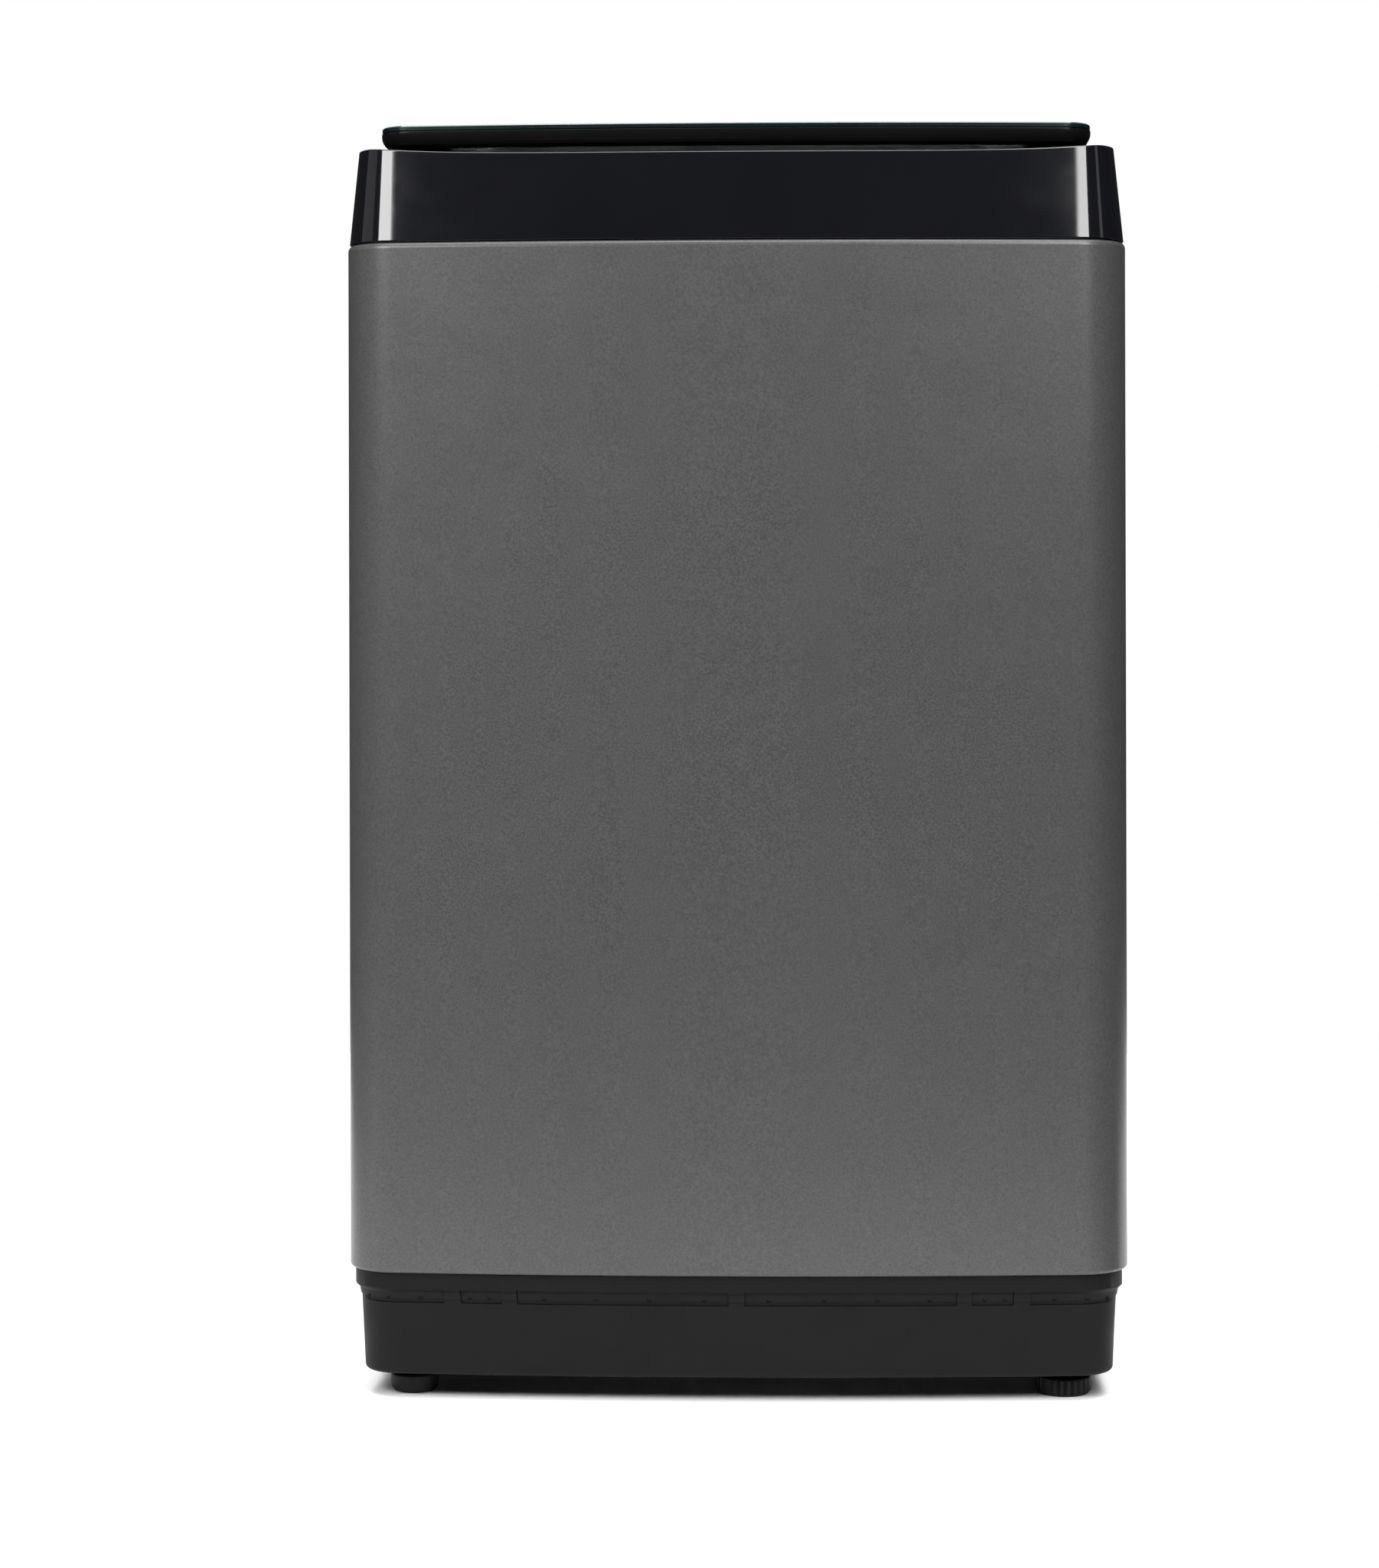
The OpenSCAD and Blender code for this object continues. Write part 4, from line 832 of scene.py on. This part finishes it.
def basket_skin():
    """The steel basket wall, pierced in upright bands and pressed inwards between them."""
    low, high = drum_low, drum_high
    radius = (high.x - low.x) / 2
    sheet, hole, margin = 0.9 * MM, 2.1 * MM, 24 * MM
    bands, press, fade_over = 12, 3 * MM, 50 * MM
    columns, rows, sides = 8 * bands, 30, 8
    step_z = (high.z - low.z - 2 * margin) / rows
    step_a = 2 * math.pi / columns
    verts, faces = [], []

    def vert(a, z, inner):
        fade = max(0.0, min(1.0, (z - low.z) / fade_over, (high.z - z) / fade_over))
        r = radius - press * (0.5 + 0.5 * math.cos(bands * a)) * fade - (sheet if inner else 0)
        verts.append((axis[0] + r * math.cos(a), axis[1] + r * math.sin(a), z))
        return len(verts) - 1

    def around(first, second):
        """Faces between two loops of vertices."""
        for k in range(sides):
            after = (k + 1) % sides
            faces.append((first[k], first[after], second[after], second[k]))

    square = [(1, 0), (1, 1), (0, 1), (-1, 1), (-1, 0), (-1, -1), (0, -1), (1, -1)]
    for row in range(rows):
        for column in range(columns):
            a, z = (column + 0.5) * step_a, low.z + margin + (row + 0.5) * step_z
            pierced = column % 8 in range(1, 7) and (row + column) % 2 == 0
            rims = []
            for inner in (False, True):
                edge = [vert(a + u * step_a / 2, z + v * step_z / 2, inner) for u, v in square]
                if not pierced:
                    faces.append(tuple(edge))
                    continue
                rim = circle((0, 0), hole, 0, sides)
                rims.append([vert(a + u / radius, z + v, inner) for u, v, _ in rim])
                around(edge, rims[-1])
            if pierced:
                around(*rims)
    for z_a, z_b in ((low.z, low.z + margin), (high.z - margin, high.z)):
        for column in range(2 * columns):
            a, b = column * step_a / 2, (column + 1) * step_a / 2
            out, inn = [[vert(a, z_a, inner), vert(b, z_a, inner), vert(b, z_b, inner), vert(a, z_b, inner)]
                        for inner in (False, True)]
            faces += [tuple(out), tuple(inn)]
            p, q = (0, 1) if z_a == low.z else (3, 2)
            faces.append((out[p], out[q], inn[q], inn[p]))
    made("basket_skin", verts, faces, drum_steel, "basket", "basket_steel", "basket_wall", sharp=40)


def wash_plate():
    """The pulsator: a shallow dish with curved vanes and a raised middle."""
    low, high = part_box("pulsator")
    radius = (high.x - low.x) / 2
    count, steps, vanes = 240, 56, 6
    hub_r, bore_r, edge_in = 30 * MM, 6 * MM, 0.6 * MM
    vane_h, hub_h = 17 * MM, 17 * MM

    def top(r, a):
        share = r / radius
        rim = 3 * MM + 2.6 * MM * (1 - share)
        swirl = a - 0.55 * share ** 1.5
        crest = math.cos(vanes * swirl / 2) ** 8
        reach = math.sin(math.pi * min(1.0, max(0.0, (share - 0.16) / 0.8))) ** 0.8
        middle = hub_h * math.exp(-((r / hub_r) ** 4)) * (1 - crest * reach)
        height = low.z + rim + vane_h * crest * reach * (1 - 0.45 * share) + middle
        return min(height, high.z - 0.2 * MM)

    rings = []
    for j in range(steps + 1):
        r = bore_r + (radius - edge_in - bore_r) * j / steps
        turns = [2 * math.pi * k / count for k in range(count)]
        rings.append([(axis[0] + r * math.cos(a), axis[1] + r * math.sin(a), top(r, a)) for a in turns])
    under = ((radius, 2.4 * MM), (radius, 1.6 * MM), (radius - 1 * MM, 1 * MM), (bore_r, 0.6 * MM))
    rings += [circle(axis, r, low.z + up, count) for r, up in under]
    plate = grid(rings, along=True)
    made("wash_plate", *plate, pulsator_blue, "pulsator", "pulsator_plastic", "pulsator", sharp=50)


# ---------------------------------------------------------------- springs and hose


def swept(path, r, sides):
    """A closed tube along a path of points."""
    rings = []
    for i, p in enumerate(path):
        along = (Vector(path[min(i + 1, len(path) - 1)]) - Vector(path[max(i - 1, 0)])).normalized()
        aside = Vector((0, 0, 1) if abs(along.z) < 0.9 else (0, 1, 0))
        side = along.cross(aside).normalized()
        other = along.cross(side)
        turns = [2 * math.pi * k / sides for k in range(sides)]
        rings.append([Vector(p) + r * (math.cos(a) * side + math.sin(a) * other) for a in turns])
    verts, faces = grid(rings)
    n = len(verts)
    return verts, faces + [tuple(range(sides)), tuple(range(n - sides, n))]


def springs():
    """Four coil springs, each squeezed between a rod's foot and the cup above it."""
    low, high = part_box("suspension_springs")
    wire, coil = 1.9 * MM, 12.5 * MM
    turns, steps = 8, 20                 # open turns, between a closed one at each end
    pitch = 2.02 * wire                  # of the closed turns
    across, along = 0.25, 0.24
    z0, z1 = low.z + wire, high.z - wire
    places = [(sx * across, axis[1] + sy * along) for sx in (-1, 1) for sy in (-1, 1)]
    for i, (cx, cy) in enumerate(places):
        path = []
        for k in range((turns + 2) * steps + 1):
            a = 2 * math.pi * k / steps
            share = min(1.0, max(0.0, (k - steps) / (turns * steps)))
            closed = min(k / steps, 1) + max(0.0, k / steps - turns - 1)
            z = z0 + pitch * closed + (z1 - z0 - 2 * pitch) * share
            path.append((cx + coil * math.cos(a), cy + coil * math.sin(a), z))
        piece = started(f"spring_{i + 1}", *swept(path, wire, 10))
        dressed(piece, [spring_steel], "spring_steel", "suspension_springs", sharp=60)
        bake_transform(piece)


# The hose's route in the part: valve outlet, down, back along the left side, and up to the rear elbow
HOSE_ROUTE = [
    (-185, -130, 150), (-185, -130, 142), (-187, -125, 130), (-190, -114, 121), (-194, -98, 118),
    (-200, -70, 117), (-206, -30, 117), (-211, 20, 118), (-214, 70, 120), (-215, 120, 124), (-215, 165, 129),
    (-215, 205, 133), (-215, 238, 134), (-215, 265, 134),
]


def smooth_path(points, steps):
    """A Catmull-Rom curve through points."""
    p = [Vector(q) * MM for q in points]
    p = [2 * p[0] - p[1]] + p + [2 * p[-1] - p[-2]]
    out = []
    for a, b, c, d in zip(p, p[1:], p[2:], p[3:]):
        for t in [k / steps for k in range(steps)]:
            square, cube = (2 * a - 5 * b + 4 * c - d) * t ** 2, (3 * b - a - 3 * c + d) * t ** 3
            out.append(0.5 * (2 * b + (c - a) * t + square + cube))
    return out + [p[-2]]


def inner_hose():
    """The ribbed hose between the drain valve and the rear elbow."""
    path = smooth_path(HOSE_ROUTE, 16)
    sides, r, rib_r = 28, 12.6 * MM, 14 * MM
    cuff = 7                             # rings without ribs at each end
    verts, faces = swept(path, r, sides)
    for i in range(cuff, len(path) - cuff, 2):
        for j in range(i * sides, (i + 1) * sides):
            verts[j] = path[i] + (verts[j] - path[i]) * (rib_r / r)
    piece = started("inner_hose", verts, faces)
    dressed(piece, [hose], "hose_rubber", "drain_hose", sharp=60)
    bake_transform(piece)


# ---------------------------------------------------------------- finishes of the CAD nodes that stay

KEPT = {
    zinc: ["rear_panel", "corner_brackets"],
    screw_steel: ["case_screws", "foot_lock_nut", "lid_magnet", "pulsator_screw"],
    steel: ["suspension_rods", "hinge_pins", "spin_shaft", "wash_shaft", "shaft_bearings"],
    nylon: ["rod_seats", "hinge_dampers", "damper_cups"],
    gloss: ["console_housing", "console_panel"],
    smoked: ["display_window"],
    circuit: ["control_board"],
    white_plastic: ["inlet_valve", "pressure_sensor", "drain_valve_body", "drain_actuator",
                    "detergent_drawer"],
    hose: ["inlet_duct", "tub_seal"],
    tub_plastic: ["detergent_housing", "outer_tub", "tub_cover_ring"],
    dark_plastic: ["lid_sensor", "drain_elbow", "drain_plunger"],
    rubber: ["power_gland", "lid_bumpers"],
    cast: ["bearing_housing", "basket_hub"],
    copper: ["motor_stator", "clutch_coil"],
    ring_plastic: ["balance_ring", "basket_bottom", "lint_filters"],
    rotor_metal: ["motor_rotor", "clutch_coupler"],
    button_satin: [n for n in nodes if n.startswith("button_")],
}
EASED = {                # how far each one's edges are eased, in mm
    "rear_panel": 0.6, "corner_brackets": 0.5, "console_housing": 0.9, "console_panel": 0.5,
    "inlet_valve": 0.6, "detergent_drawer": 0.7, "detergent_housing": 0.6, "drain_actuator": 1.2,
    "outer_tub": 0.8, "lint_filters": 1.5, "pressure_sensor": 0.7, "power_gland": 0.6, "drain_elbow": 0.6,
    "basket_hub": 0.6,
    **{n: 0.8 for n in nodes if n.startswith("button_")},
}


def kept_nodes():
    """Materials and eased edges for the CAD nodes whose shape is right."""
    for mat, names in KEPT.items():
        for name in names:
            node = nodes[name]
            node.data.materials.clear()
            node.data.materials.append(mat)
            soften(node.data, 30)
            if name not in EASED:
                continue
            ease = node.modifiers.new("eased_edges", "BEVEL")
            ease.width = EASED[name] * MM
            ease.segments = 2
            ease.limit_method = "ANGLE"
            ease.angle_limit = math.radians(40)
            ease.harden_normals = True


# ---------------------------------------------------------------- making everything

bpy.context.scene.view_settings.view_transform = "Standard"
look_from(azimuth=1.57, distance=2.825, height=0.612, lens=77.66, shift=(-0.0358, -0.1262), roll=-0.134)
studio_world(seen=1.0, ambient=0.03)
sunlight(4.6, 50)
studio_floor([(-1.2, -0.98), (0.55, -0.98), (0.55, -0.15), (1.4, 0.1), (1.4, 1.6), (-1.2, 1.6)],
             (0.86, 0.86, 0.86))
softbox("left_strip", (-1.22, -1.826, 1.76), (-0.26, -0.3, 1.0), (0.955, 0.9), 46)
softbox("right_strip", (1.0125, -1.9355, 2.05), (0.26, -0.3, 1.0), (0.78, 1.55), 57)
softbox("left_edge", (-2.42, -0.75, 1.65), (-0.27, -0.3, 0.9), (1.3, 0.9), 1.9)
softbox("right_edge", (2.31, -1.12, 1.65), (0.27, -0.3, 0.9), (0.3, 0.9), 0.8)
softbox("back_wash", (0.2, 3.0, 2.4), (0, 0.2, 0.4), (3.8, 1.6), 95, mirrored=False)

cabinet_shell()
base_shell()
base_plugs()
feet()
ribbed_foot()
cover_shell()
funnel_shell()
lid_tray()
glass_sheet()
panel_marks()
basket_skin()
wash_plate()
springs()
inner_hose()
kept_nodes()
